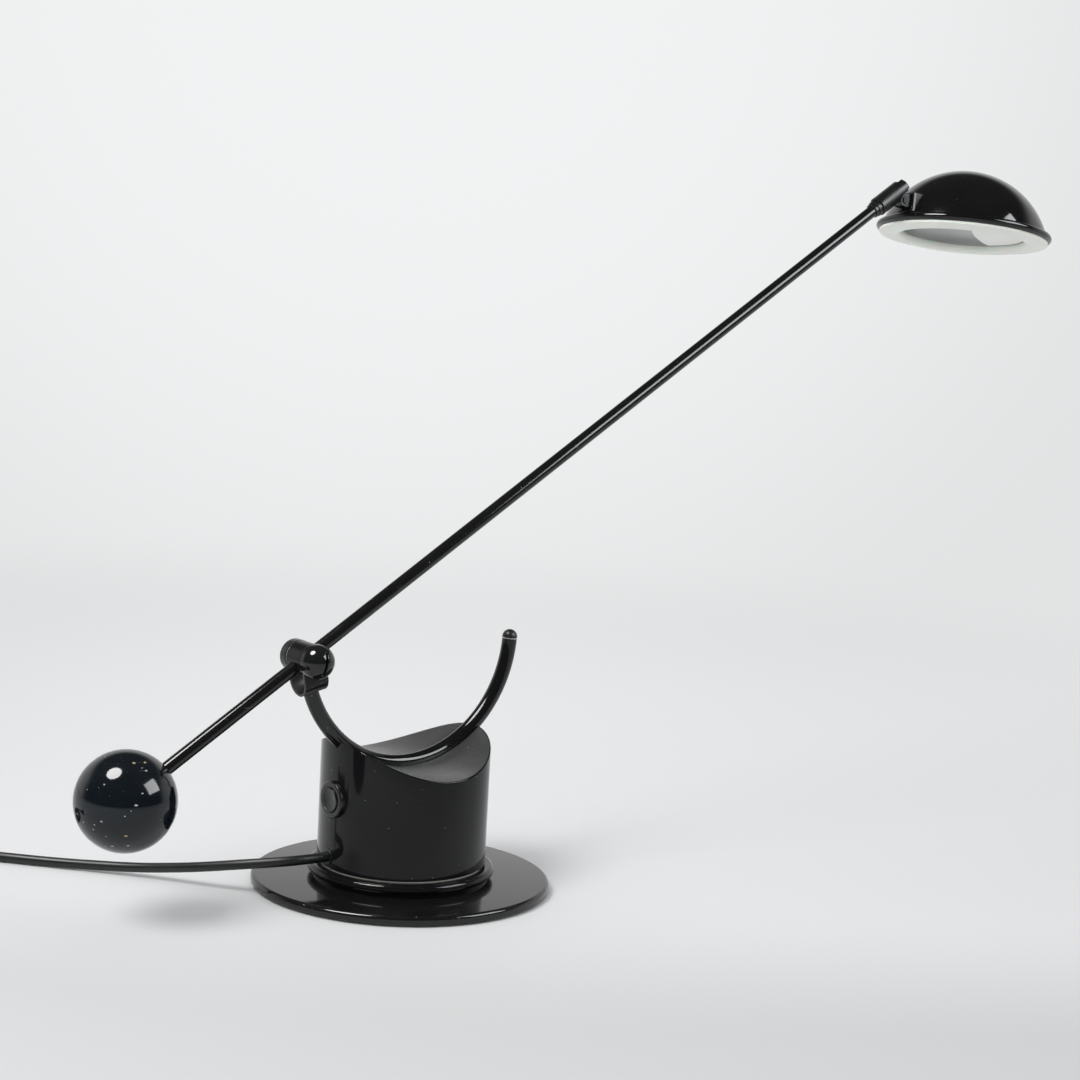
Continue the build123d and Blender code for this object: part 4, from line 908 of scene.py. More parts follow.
def zinc():
    return metal("Zinc plate", (0.62, 0.62, 0.60), 0.28)


def dark_steel():
    return metal("Dark steel", (0.10, 0.10, 0.105), 0.33)


def black_steel():
    return metal("Blackened steel", (0.035, 0.035, 0.037), 0.26)


def core_steel():
    return metal("Core steel", (0.24, 0.23, 0.22), 0.5, 0.5)


def winding():
    return metal("Copper winding", (0.45, 0.19, 0.09), 0.35, 0.6)


def bright_brass():
    return metal("Plug pin", (0.72, 0.60, 0.34), 0.22)


def bowl_aluminium():
    return metal("Satin aluminium", (0.60, 0.60, 0.60), 0.36, 0.2)


def bulb_glass():
    material, tree, shader = plain("Bulb glass", (1, 1, 1), 0.03, Transmission_Weight=1.0, IOR=1.46)
    return material


# ---------------------------------------------------------------- base and drum
def add_base():
    base = sizes().plate_radius
    low, high = PLATE_LOW.z, PLATE_HIGH.z
    plate = turned(
        "Base_disc",
        rounded([(0, low), (base, low), (base, high), (0, high)], [0, PLATE_LOWER_ROUND, PLATE_ROUND, 0], 8),
        closed=False)
    finish_piece(plate, "base", "black_enamel", disc_enamel(), "base_plate")

    top = COLLAR_HIGH.z
    centre = (COLLAR_R + BEAD_OUT, top - BEAD_R)
    meets = acos(-BEAD_OUT / BEAD_R)
    outline = [
        *rounded([(COLLAR_BORE, high), (COLLAR_R, high)], [0, 0]),
        *bow(centre, BEAD_R, -meets, meets, 20),
        (COLLAR_BORE + 0.5 * MM, top),
        (COLLAR_BORE, top - 0.5 * MM),
    ]
    collar = turned("Base_collar", outline)
    finish_piece(collar, "base", "black_enamel", enamel(), "base_collar")
    dress("foot_pad", foot_rubber())
    dress("collar_screws", zinc())
    dress("slide_ring", nylon())
    dress("swivel_nipple", zinc())
    dress("swivel_nuts", zinc())
    dress("swivel_washer", zinc())


def saddle_height(x, radius):
    return ARC_CENTRE.z - sqrt(radius**2 - x**2)


def add_drum():
    radius, saddle = sizes().drum_radius, sizes().saddle_radius
    bore, low = radius - DRUM_WALL, DRUM_LOW.z
    rings = 26
    above, under = 1.0, 0.5  # placeholder heights of the top and the ceiling until they are shaped
    outline = [(radius * k / rings, above) for k in range(rings + 1)]
    outline += [(radius, low), (bore, low)]
    outline += [(bore * k / rings, under) for k in range(rings, -1, -1)]
    drum = turned("Drum", outline, closed=False, steps=160)
    rim = drum.vertex_groups.new(name="Rim")
    for vertex in drum.data.vertices:
        if vertex.co.z > 0.9:
            if hypot(vertex.co.x, vertex.co.y) > radius - MM / 10:
                rim.add([vertex.index], 1.0, "REPLACE")
            vertex.co.z = saddle_height(vertex.co.x, saddle)
        elif vertex.co.z > 0.4:
            vertex.co.z = saddle_height(vertex.co.x, saddle + SADDLE_T)
    apply_modifier(
        drum, "BEVEL", width=DRUM_ROUND, segments=4, limit_method="VGROUP", vertex_group="Rim",
        use_clamp_overlap=True)
    drum.vertex_groups.clear()

    clear_selection()
    bpy.ops.mesh.primitive_torus_add(
        major_radius=sizes().arc_radius, minor_radius=GROOVE_R, major_segments=360, minor_segments=64)
    groove = place(as_piece("Groove_tool"), frame_matrix(ARC_CENTRE, (1, 0, 0), (0, 1, 0)))
    side = frame_matrix((0, 0, SWITCH_UP), (0, 1, 0), (-1, 0, 0))
    switch_hole = bar("Switch_hole_tool", SWITCH_HOLE_R, radius / 2, radius * 1.2, side)
    way_out = Vector((cos(CORD_AZIMUTH), sin(CORD_AZIMUTH), 0))
    cord_hole = bar(
        "Cord_hole_tool", CORD_HOLE_R, radius / 2, radius * 1.2, frame_matrix((0, 0, CORD_UP), (0, 0, 1), way_out))
    cut(drum, groove, switch_hole, cord_hole)
    finish_piece(drum, "drum", "black_enamel", enamel(), "drum_shell", smooth=30)
    drum.data.materials.append(saddle_enamel())
    for face in drum.data.polygons:
        x, y, z = face.center
        if face.normal.z > 0.25 and hypot(x, y) < radius - DRUM_ROUND and z > low + 10 * MM:
            face.material_index = 1


def add_drum_fittings():
    for node_name, material in (
        ("drum_floor", dark_steel()), ("floor_screws", zinc()), ("slide_pad", nylon()),
        ("clamp_stud", zinc()), ("clamp_washers", dark_steel()), ("clamp_nut", zinc()),
        ("transformer_cradle", zinc()), ("transformer_core", core_steel()),
        ("transformer_coil", winding()), ("terminal_block", cream_plastic()),
        ("switch_body", black_plastic()),
    ):
        dress(node_name, material)
    radius = sizes().drum_radius
    out = frame_matrix((-radius, 0, SWITCH_UP), (0, 1, 0), (-1, 0, 0))
    stands = BEZEL_STANDS
    flange = turned(
        "Switch_bezel",
        rounded(
            [(BEZEL_BORE, -stands), (BEZEL_R, -stands), (BEZEL_R, stands), (BEZEL_BORE, stands)],
            [0, 0, BEZEL_ROUND, 0.3 * MM], 6))
    place(flange, out)
    cut(flange, bar("Drum_wall_tool", radius, 0, 2 * SWITCH_UP, steps=256))
    barrel = turned(
        "Switch_barrel",
        [(BEZEL_BORE, -SWITCH_DEPTH), (SWITCH_HOLE_R - 0.05 * MM, -SWITCH_DEPTH),
         (SWITCH_HOLE_R - 0.05 * MM, stands / 2), (BEZEL_BORE, stands / 2)], steps=64)
    place(barrel, out)
    activate(flange)
    barrel.select_set(True)
    bpy.ops.object.join()
    finish_piece(flange, "drum", "black_plastic", black_plastic(), "switch_bezel")

    top = stands + BUTTON_STANDS
    dish = (BUTTON_R**2 + BUTTON_DISH**2) / (2 * BUTTON_DISH)
    lip = BUTTON_R - 0.7 * MM
    outline = [(0, -SWITCH_DEPTH / 2), (BUTTON_R, -SWITCH_DEPTH / 2)]
    outline += [tuple(p) for p in bow((lip, top - 0.7 * MM), 0.7 * MM, 0, radians(80), 6)]
    outline += [
        (lip * k / 12, top + dish - BUTTON_DISH - sqrt(dish**2 - (lip * k / 12) ** 2)) for k in range(12, -1, -1)
    ]
    button = place(turned("Switch_button", outline, closed=False), out)
    finish_piece(button, "button", "black_plastic", black_plastic(), "switch_button")

    way_out = Vector((cos(CORD_AZIMUTH), sin(CORD_AZIMUTH), 0))
    lip_outline = rounded(
        [(CORD_R + 0.04 * MM, -2 * MM), (GROMMET_R, -2 * MM), (GROMMET_R, -0.3 * MM), (GROMMET_LIP_R, -0.3 * MM),
         (GROMMET_LIP_R, GROMMET_LIP), (CORD_R + 0.04 * MM, GROMMET_LIP)],
        [0, 0, 0, 0, 0.35 * MM, 0.25 * MM])
    grommet = turned("Cord_grommet", lip_outline, steps=64)
    place(grommet, frame_matrix(way_out * radius + Vector((0, 0, CORD_UP)), (0, 0, 1), way_out))
    finish_piece(grommet, "drum", "cord_rubber", cord_rubber(), "grommet")


# ---------------------------------------------------------------- arc and pivot
def yoke_angle():
    """The arc's angle under the yoke."""
    reach = STRAP_DROP + STRAP_OUT
    out = PIVOT - ARC_CENTRE
    return atan2(out.z, out.x) % (2 * pi) + 2 * asin(reach / (2 * sizes().arc_radius))


def swept(name, outline, start, end, steps):
    """Spins an outline of (outward, across) points round the arc's axis, from one angle to another."""
    mesh = bpy.data.meshes.new(name)
    points = [(p[0], p[1], 0) for p in outline]
    mesh.from_pydata(points, [], [list(range(len(points)))])
    piece = bpy.data.objects.new(name, mesh)
    bpy.context.scene.collection.objects.link(piece)
    place(piece, arc_matrix(start, sizes().arc_radius))
    activate(piece)
    bpy.ops.object.mode_set(mode="EDIT")
    bpy.ops.mesh.select_all(action="SELECT")
    bpy.ops.mesh.spin(steps=steps, angle=end - start, center=ARC_CENTRE, axis=(0, 1, 0))
    bpy.ops.mesh.select_all(action="SELECT")
    bpy.ops.mesh.remove_doubles(threshold=1e-7)
    bpy.ops.mesh.normals_make_consistent(inside=False)
    bpy.ops.object.mode_set(mode="OBJECT")
    return piece


def add_arc():
    tube_r = sizes().arc_tube
    start = yoke_angle() - radians(2.5)
    tube = swept("Arc", bow((0, 0), tube_r, 0, 2 * pi, 48)[:-1], start, ARC_END, 170)
    hollow = swept(
        "Arc_bore_tool", bow((0, 0), tube_r - TUBE_WALL, 0, 2 * pi, 32)[:-1], start - 0.02, ARC_END + 0.02, 170)
    half = SLOT_W / 2
    slot = swept(
        "Slot_tool", [(0, -half), (2 * tube_r, -half), (2 * tube_r, half), (0, half)], SLOT_FROM, SLOT_TO, 80)
    bend = bar(
        "Yoke_tool", STRAP_OUT, -STRAP_W, STRAP_W,
        yoke_matrix() @ Matrix.Translation((0, 0, -STRAP_DROP)) @ Matrix.Rotation(pi / 2, 4, "Y"), steps=96)
    cut(tube, hollow, slot, bend)
    keep_largest(tube)
    finish_piece(tube, "arc", "black_enamel", arc_enamel(), "arc_tube")

    base = CAP_NECK + CAP_SKIRT
    outline = [(0, -5 * MM), (tube_r - TUBE_WALL - 0.3 * MM, -5 * MM), (tube_r - TUBE_WALL - 0.3 * MM, 0)]
    outline += [(tube_r - 0.4 * MM, 0), (tube_r - 0.4 * MM, CAP_NECK), (CAP_DOME_R - 0.15 * MM, CAP_NECK)]
    outline += [(CAP_DOME_R, CAP_NECK + 0.15 * MM)]
    outline += bow((0, base), CAP_DOME_R, 0, pi / 2, 18)[:-1] + [(0, base + CAP_DOME_R)]
    cap = turned("Arc_end_cap", outline, closed=False, steps=72)
    place(cap, arc_matrix(ARC_END, sizes().arc_radius))
    finish_piece(cap, "arc", "cap_rubber", cap_rubber(), "end_cap")
    cap.data.materials.append(zinc())
    across = arc_matrix(ARC_END, sizes().arc_radius).inverted()
    for face in cap.data.polygons:
        middle = across @ face.center
        if MM / 100 < middle.z < CAP_NECK - MM / 100:
            face.material_index = 1


def keep_largest(piece):
    """Removes every loose part but the one with the most vertices."""
    activate(piece)
    bpy.ops.object.mode_set(mode="EDIT")
    bpy.ops.mesh.select_all(action="SELECT")
    bpy.ops.mesh.separate(type="LOOSE")
    bpy.ops.object.mode_set(mode="OBJECT")
    parts = list(bpy.context.selected_objects)
    largest = max(parts, key=lambda part: len(part.data.vertices))
    mesh = largest.data
    for part in parts:
        if part not in (largest, piece):
            bpy.data.objects.remove(part)
    piece.data = mesh
    if largest is not piece:
        bpy.data.objects.remove(largest)


def add_yoke():
    section = [(-STRAP_OUT, 12 * MM)]
    section += bow((0, -STRAP_DROP), STRAP_OUT, pi, 2 * pi, 32)
    section += [(STRAP_OUT, 12 * MM), (STRAP_IN, 12 * MM)]
    section += bow((0, -STRAP_DROP), STRAP_IN, 2 * pi, pi, 32)
    section += [(-STRAP_IN, 12 * MM)]
    strap = drawn("Yoke", section, 24 * MM)
    place(strap, yoke_matrix() @ frame_matrix((0, 0, 0), (0, 1, 0), (1, 0, 0)))

    half = STRAP_W / 2
    shoulder = asin(half / EYE_R)
    stone = bow((0, 0), EYE_R, shoulder - pi / 2, 3 * pi / 2 - shoulder, 56)
    stone += [(-half, -30 * MM), (half, -30 * MM)]
    prism = drawn("Yoke_outline_tool", stone, 30 * MM)
    place(prism, yoke_matrix() @ frame_matrix((0, 0, 0), (1, 0, 0), (0, -1, 0)))
    cut(strap, prism, operation="INTERSECT")
    cross = yoke_matrix() @ frame_matrix((0, 0, 0), (1, 0, 0), (0, 1, 0))
    eyes = bar("Eye_tool", EYE_HOLE, -20 * MM, 20 * MM, cross)
    foot = bar("Foot_hole_tool", sizes().arc_tube - TUBE_WALL, -30 * MM, -STRAP_DROP, yoke_matrix(), steps=40)
    cut(strap, eyes, foot)
    soften(strap, 0.35 * MM, 3)
    finish_piece(strap, "arc", "black_enamel", enamel(), "yoke")
    strap.data.materials.append(wear_and_painted_sheen_inside())
    # The strap's inner faces get the lighter satin grey, a painted sheen.
    across = yoke_matrix().inverted()
    for face in strap.data.polygons:
        middle = across @ face.center
        if abs(middle.y) < STRAP_IN + MM / 10 and middle.z > -STRAP_DROP - STRAP_IN - MM / 10:
            face.material_index = 1


def drawn(name, outline, depth):
    """A prism with this outline in its x and y, centred on z = 0."""
    mesh = bpy.data.meshes.new(name)
    mesh.from_pydata([(p[0], p[1], -depth / 2) for p in outline], [], [list(range(len(outline)))])
    piece = bpy.data.objects.new(name, mesh)
    bpy.context.scene.collection.objects.link(piece)
    activate(piece)
    bpy.ops.object.mode_set(mode="EDIT")
    bpy.ops.mesh.select_all(action="SELECT")
    bpy.ops.mesh.extrude_region_move(TRANSFORM_OT_translate={"value": (0, 0, depth)})
    bpy.ops.mesh.select_all(action="SELECT")
    bpy.ops.mesh.normals_make_consistent(inside=False)
    bpy.ops.object.mode_set(mode="OBJECT")
    return piece


def add_pivot():
    here = pivot_matrix()
    side = [
        (0, STUB_FLOOR), (STUB_R, STUB_FLOOR), (STUB_R, JOURNAL_END), (JOURNAL_R - PLAY, JOURNAL_END),
        (JOURNAL_R - PLAY, BARREL_HALF - PLAY), (BARREL_R - 0.3 * MM, BARREL_HALF - PLAY),
        (BARREL_R, BARREL_HALF - PLAY - 0.3 * MM),
    ]
    outline = side + [(r, -z) for r, z in reversed(side)]
    barrel = place(turned("Pivot_barrel", outline, closed=False), here)
    along = frame_matrix(PIVOT, ARM_UP, ARM)
    down = frame_matrix(PIVOT, ARM, -ARM_UP)
    cut(
        barrel, bar("Arm_bore_tool", ARM_R + 0.05 * MM, -2 * BARREL_R, 2 * BARREL_R, along),
        bar("Set_screw_tool", SET_SCREW_R, 0, 2 * BARREL_R, down, steps=40))
    finish_piece(barrel, "arm", "black_enamel", enamel(), "pivot_barrel")

    face = KNOB_FACE - PLAY
    skirt = face - KNOB_SKIRT
    outline = [(0, -STUB_FLOOR - 0.2 * MM), (STUB_R - 0.05 * MM, -STUB_FLOOR - 0.2 * MM), (STUB_R - 0.05 * MM, face)]
    outline += [(KNOB_R - 0.3 * MM, face), (KNOB_R, face - 0.3 * MM)]
    outline += bow((0, skirt), KNOB_R, 0, -pi / 2, 26)[:-1] + [(0, skirt - KNOB_R)]
    knob = place(turned("Tension_knob", outline, closed=False), here)
    deep = block(
        "Coin_slot_tool", (-KNOB_SLOT / 2, -2 * KNOB_R, skirt - 2 * KNOB_R),
        (KNOB_SLOT / 2, 2 * KNOB_R, skirt - KNOB_R + KNOB_SLOT_DEEP), here @ Matrix.Rotation(KNOB_SLOT_LEAN, 4, "Z"))
    cut(knob, deep)
    soften(knob, 0.25 * MM, 2, 50)
    finish_piece(knob, "knob", "black_plastic", knob_plastic(), "tension_knob")

    low = CAP_LOW.y
    high = CAP_HIGH.y
    seat = REAR_CAP_FACE
    outline = [(0, STUB_FLOOR + 0.2 * MM), (STUB_R - 0.05 * MM, STUB_FLOOR + 0.2 * MM), (STUB_R - 0.05 * MM, seat)]
    outline += rounded([(BARREL_R, seat), (BARREL_R, high)], [0, 0])
    outline[-1:] = bow((BARREL_R - REAR_CAP_ROUND, high - REAR_CAP_ROUND), REAR_CAP_ROUND, 0, pi / 2, 10)
    outline += [(0, high)]
    rear = place(turned("Rear_pivot_cap", outline, closed=False), here)
    finish_piece(rear, "arm", "black_plastic", black_plastic(), "rear_cap")
    dress("set_screw", dark_steel())
    dress("friction_washers", nylon())
    dress("spring_washer", dark_steel())


# ---------------------------------------------------------------- arm and ball
def add_arm():
    low = -(BALL_REACH - sizes().ball_radius + SOCKET)
    tube = turned(
        "Arm_tube",
        [(ARM_R - ARM_WALL, low), (ARM_R, low), (ARM_R, ARM_TOP), (ARM_R - ARM_WALL, ARM_TOP)], steps=96)
    place(tube, arm_matrix())
    finish_piece(tube, "arm", "black_enamel", arm_enamel(), "arm_tube")
    outline = [
        (ARM_R + 0.05 * MM, STOP_TO - STOP_W), (STOP_R - 0.6 * MM, STOP_TO - STOP_W),
        (STOP_R, STOP_TO - STOP_W + 0.6 * MM), (STOP_R, STOP_TO), (ARM_R + 0.05 * MM, STOP_TO),
    ]
    ring = place(turned("Arm_stop_ring", outline, steps=72), arm_matrix())
    finish_piece(ring, "arm", "black_enamel", satin_enamel(), "stop_ring")


def add_ball():
    clear_selection()
    bpy.ops.mesh.primitive_uv_sphere_add(segments=160, ring_count=80, radius=sizes().ball_radius)
    weight = place(as_piece("Counterweight_ball"), arm_matrix(-BALL_REACH))
    low = -(BALL_REACH - sizes().ball_radius + SOCKET)
    cut(weight, bar("Ball_socket_tool", ARM_R + 0.12 * MM, low, 0, arm_matrix(), steps=96))
    soften(weight, 0.3 * MM, 2, 50)
    finish_piece(weight, "arm", "black_enamel", ball_enamel(), "ball")
    dress("ball_stud", zinc())


# ---------------------------------------------------------------- head joint
def add_sleeve():
    outline = [(0, SLEEVE_TO), (SLEEVE_R - 0.8 * MM, SLEEVE_TO), (SLEEVE_R, SLEEVE_TO - 0.8 * MM)]
    outline += [(SLEEVE_R, SLEEVE_FROM + NECK_L + 0.3 * MM), (SLEEVE_R - 0.3 * MM, SLEEVE_FROM + NECK_L)]
    outline += [(NECK_R, SLEEVE_FROM + NECK_L), (NECK_R, SLEEVE_FROM + 0.3 * MM), (NECK_R - 0.3 * MM, SLEEVE_FROM)]
    outline += [(ARM_R + 0.05 * MM, SLEEVE_FROM), (ARM_R + 0.05 * MM, ARM_TOP + 0.5 * MM), (0, ARM_TOP + 0.5 * MM)]
    sleeve = turned("Head_sleeve", outline, closed=False, steps=96)
    across = Matrix.Translation((PIN_BELOW, 0, PIN_ALONG)) @ Matrix.Rotation(-pi / 2, 4, "X")
    ears = bar("Ear_relief_tool", EAR_R + 0.3 * MM, -2 * SLEEVE_R, 2 * SLEEVE_R, across)
    beyond = bar("End_relief_tool", RELIEF_R, -2 * SLEEVE_R, 2 * SLEEVE_R, across)
    swept_by_head = block("Beyond_tool", (-50 * MM, -50 * MM, 0), (50 * MM, 50 * MM, 50 * MM))
    place(
        swept_by_head,
        Matrix.Translation((PIN_BELOW, 0, PIN_ALONG)) @ Matrix.Rotation(pi / 2 - RELIEF_FROM, 4, "Y"))
    cut(beyond, swept_by_head, operation="INTERSECT")
    webs = block(
        "Web_relief_tool", (PIN_BELOW - WEB_RELIEF, -2 * SLEEVE_R, PIN_ALONG),
        (2 * SLEEVE_R, 2 * SLEEVE_R, 2 * SLEEVE_TO))
    cut(sleeve, ears, beyond, webs)
    half = TONGUE_T / 2
    tongue = bar("Tongue", TONGUE_R, -half, half, across)
    stem = block("Tongue_stem", (MM, -half, PIN_ALONG - TONGUE_R), (PIN_BELOW, half, PIN_ALONG + TONGUE_R))
    cut(sleeve, stem, tongue, operation="UNION")
    notch = block(
        "Notch_tool", (-2 * SLEEVE_R, -2 * SLEEVE_R, NOTCH_FROM), (NOTCH_DEEP - SLEEVE_R, 2 * SLEEVE_R, 2 * SLEEVE_TO))
    place(notch, Matrix.Rotation(-NOTCH_TURN, 4, "Z"))
    cut(sleeve, notch)
    keep_largest(sleeve)
    soften(sleeve, 0.2 * MM, 2, 40)
    place(sleeve, arm_matrix(0, rolled=True))
    finish_piece(sleeve, "sleeve", "black_enamel", satin_enamel(), "head_sleeve")
    dress("head_pin", black_steel())


# ---------------------------------------------------------------- head
def lip_meeting(radius, centre, side):
    """Where the lip's round meets a sphere of the shade: the elevation on the sphere."""
    reach = hypot(*centre)
    spread = acos((radius**2 + reach**2 - LIP_R**2) / (2 * radius * reach))
    return atan2(centre[1], centre[0]) + side * spread


def add_shade():
    outer = sizes().shade_radius
    inner = outer - SHADE_WALL
    ring_centre = (LIP_RING_R, LIP_UP)
    from_sphere = (LIP_RING_R, LIP_UP + SHADE_DROP)
    top = lip_meeting(outer, from_sphere, 1)
    back = lip_meeting(inner, from_sphere, 1)
    middle = (0, -SHADE_DROP)
    first = (outer * cos(top) - ring_centre[0], outer * sin(top) - SHADE_DROP - ring_centre[1])
    last = (inner * cos(back) - ring_centre[0], inner * sin(back) - SHADE_DROP - ring_centre[1])
    outline = [(0, outer - SHADE_DROP)] + bow(middle, outer, pi / 2, top, 44)[1:]
    outline += bow(ring_centre, LIP_R, atan2(first[1], first[0]), atan2(last[1], last[0]) - 2 * pi, 34)[1:-1]
    outline += bow(middle, inner, back, pi / 2, 44)[:-1] + [(0, inner - SHADE_DROP)]
    shade = place(turned("Shade", outline, closed=False, steps=192), head_matrix())
    finish_piece(shade, "head", "shade_enamel", shade_enamel(), "shade", smooth=25)

    slope = UNDER_FALL / (UNDER_R - OPENING_R)
    wall_top = OPENING_WALL - UNDER_FALL
    corners = [
        (UNDER_R, 0), (UNDER_R, UNDER_T), (SNAP_R, UNDER_T), (SNAP_R, SNAP_TOP), (SNAP_R - SNAP_T, SNAP_TOP),
        (SNAP_R - SNAP_T, UNDER_T - slope * (UNDER_R - SNAP_R + SNAP_T)),
        (OPENING_R + UNDER_T, UNDER_T - UNDER_FALL), (OPENING_R + UNDER_T, wall_top), (OPENING_R, wall_top),
        (OPENING_R, -UNDER_FALL),
    ]
    soft = 0.6 * MM
    roll = 4.8 * MM
    ring = turned("Underside_ring", rounded(
        corners, [soft, 0, 0, 0, 0, 0, roll - UNDER_T, 0, 0.3 * MM, roll], 10), steps=160)
    place(ring, head_matrix())
    finish_piece(ring, "head", "cream_plastic", cream_plastic(), "underside_ring")


def circle_through(a, b, c):
    """The centre and radius of the circle through three points."""
    (ax, ay), (bx, by), (cx, cy) = a, b, c
    d = 2 * (ax * (by - cy) + bx * (cy - ay) + cx * (ay - by))
    aa, bb, cc = ax * ax + ay * ay, bx * bx + by * by, cx * cx + cy * cy
    x = (aa * (by - cy) + bb * (cy - ay) + cc * (ay - by)) / d
    y = (aa * (cx - bx) + bb * (ax - cx) + cc * (bx - ax)) / d
    return (x, y), hypot(ax - x, ay - y)


def bowl_curve(extra, steps=24):
    low = OPENING_WALL - UNDER_FALL
    mouth = (BOWL_MOUTH_R + extra, low)
    crown = (BOWL_TOP_R, BOWL_TOP_UP + extra)
    centre, radius = circle_through(mouth, (BOWL_MID_R + extra, BOWL_MID_UP), crown)
    start = atan2(mouth[1] - centre[1], mouth[0] - centre[0])
    end = atan2(crown[1] - centre[1], crown[0] - centre[0])
    return bow(centre, radius, start, end, steps)


def add_light_parts():
    low = OPENING_WALL - UNDER_FALL
    hole = 4 * MM
    outline = [(hole, BOWL_TOP_UP), *reversed(bowl_curve(0)), (BOWL_FLANGE_R, low), (BOWL_FLANGE_R, low + BOWL_T)]
    outline += [p for p in bowl_curve(BOWL_T) if p[1] > low + BOWL_T] + [(hole, BOWL_TOP_UP + BOWL_T)]
    inside = head_matrix() @ Matrix.Rotation(SHELF_TURN, 4, "Z")
    bowl = place(turned("Reflector", outline, steps=144), head_matrix())
    finish_piece(bowl, "head", "reflector_aluminium", bowl_aluminium(), "reflector")

    low += 0.3 * MM
    edge = BOWL_MOUTH_R - 0.4 * MM
    shelf = bar("Lamp_holder", edge, low, low + SHELF_T, steps=144)
    bulge_r = (BOWL_MOUTH_R**2 + SHELF_BULGE**2) / (2 * SHELF_BULGE)
    near = bar(
        "Shelf_outline_tool", bulge_r, 0, 2 * low,
        Matrix.Translation((SHELF_FROM - SHELF_BULGE + bulge_r, 0, 0)), steps=512)
    cut(shelf, near, operation="INTERSECT")
    body_at = SHELF_FROM + 4 * MM
    half = HOLDER_W / 2
    corners = rounded(
        [(body_at, -half), (body_at + HOLDER_L, -half), (body_at + HOLDER_L, half), (body_at, half)],
        [4 * MM] * 4, 8)
    body = drawn("Holder_body", corners, HOLDER_H)
    place(body, Matrix.Translation((0, 0, low + HOLDER_H / 2)))
    cut(shelf, body, operation="UNION")
    bulb_up = low + HOLDER_H - 5 * MM
    bore = bar(
        "Bulb_bore_tool", BULB_R + 0.05 * MM, SHELF_FROM + 3 * MM, SHELF_FROM + 11 * MM,
        Matrix.Translation((0, 0, bulb_up)) @ Matrix.Rotation(pi / 2, 4, "Y"))
    cut(shelf, bore)
    soften(shelf, 0.35 * MM, 3)
    place(shelf, inside)
    finish_piece(shelf, "head", "cream_plastic", holder_plastic(), "lamp_holder")

    wall = 0.55 * MM
    length = BULB_L - BULB_R
    glass_outline = [(0, 0), (BULB_R, 0)]
    glass_outline += bow((0, length), BULB_R, 0, pi / 2, 14)[:-1] + [(0, BULB_L)]
    inner = [(0, BULB_L - wall)] + list(reversed(bow((0, length), BULB_R - wall, 0, pi / 2, 14)[:-1]))
    inner += [(BULB_R - wall, 5 * MM), (0, 5 * MM)]
    bulb_place = inside @ Matrix.Translation((SHELF_FROM + 10.9 * MM, 0, bulb_up)) @ Matrix.Rotation(-pi / 2, 4, "Y")
    outer_shell = turned("Bulb", glass_outline, closed=False, steps=64)
    inner_shell = turned("Bulb_inside", inner, closed=False, steps=64)
    activate(inner_shell)
    bpy.ops.object.mode_set(mode="EDIT")
    bpy.ops.mesh.select_all(action="SELECT")
    bpy.ops.mesh.flip_normals()
    bpy.ops.object.mode_set(mode="OBJECT")
    activate(outer_shell)
    inner_shell.select_set(True)
    bpy.ops.object.join()
    place(outer_shell, bulb_place)
    finish_piece(outer_shell, "head", "bulb_glass", bulb_glass(), "bulb")

    coil = [
        (0.55 * MM * cos(2 * pi * k / 12), 3 * MM * (k / 96 - 0.5), 13 * MM + 0.55 * MM * sin(2 * pi * k / 12))
        for k in range(97)
    ]
    posts = [(0, -1.5 * MM, 5.2 * MM), *coil, (0, 1.5 * MM, 5.2 * MM)]
    filament = wire("Filament", posts, 0.09 * MM)
    place(filament, bulb_place)
    finish_piece(filament, "head", "zinc_steel", dark_steel())


def wire(name, points, radius, sides=3):
    """A round wire through points, turned into a mesh."""
    curve = bpy.data.curves.new(name, "CURVE")
    curve.dimensions = "3D"
    curve.bevel_depth = radius
    curve.bevel_resolution = sides
    curve.use_fill_caps = True
    spline = curve.splines.new("POLY")
    spline.points.add(len(points) - 1)
    for point, at in zip(spline.points, points):
        point.co = (*at, 1)
    piece = bpy.data.objects.new(name, curve)
    bpy.context.scene.collection.objects.link(piece)
    activate(piece)
    bpy.ops.object.convert(target="MESH")
    return bpy.context.object


def add_bracket():
    half = BRACKET_W / 2
    blank = block(
        "Head_bracket", (-BRACKET_FACE, -half, BRACKET_FROM), (20 * MM - BRACKET_FACE, half, BRACKET_TO))
    soften(blank, 0.9 * MM, 1)
    inner = TONGUE_T / 2 + EAR_GAP
    pin_at = (-PIN_TO_AXIS, 0, PIN_ABOVE_RIM)
    for name, low in (("Ear_near", inner), ("Ear_far", -inner - EAR_T)):
        eye = bar(
            name, EAR_R, low, low + EAR_T, Matrix.Translation(pin_at) @ Matrix.Rotation(-pi / 2, 4, "X"))
        web = block(
            name + "_web", (-PIN_TO_AXIS, low, PIN_ABOVE_RIM - EAR_R),
            (1.5 * MM - BRACKET_FACE, low + EAR_T, PIN_ABOVE_RIM + EAR_R))
        cut(eye, web, operation="UNION")
        soften(eye, 0.2 * MM, 2)
        cut(blank, eye, operation="UNION")
    clear_selection()
    bpy.ops.mesh.primitive_uv_sphere_add(
        segments=256, ring_count=128, radius=sizes().shade_radius + 0.02 * MM, location=(0, 0, -SHADE_DROP))
    cut(blank, as_piece("Shade_tool"))
    keep_largest(blank)
    place(blank, head_matrix())
    finish_piece(blank, "head", "black_enamel", satin_enamel(), "head_bracket")
    blank.data.materials.append(painted_highlight_edge())
    # The bracket's two vertical front chamfers get the lighter edge finish, which paints a highlight on them.
    facing = head_matrix().to_3x3()
    edges = [(facing @ Vector((-1, side, 0))).normalized() for side in (-1, 1)]
    for face in blank.data.polygons:
        if max(face.normal.dot(edge) for edge in edges) > 0.995:
            face.material_index = 1
    dress("bracket_rivets", black_steel())


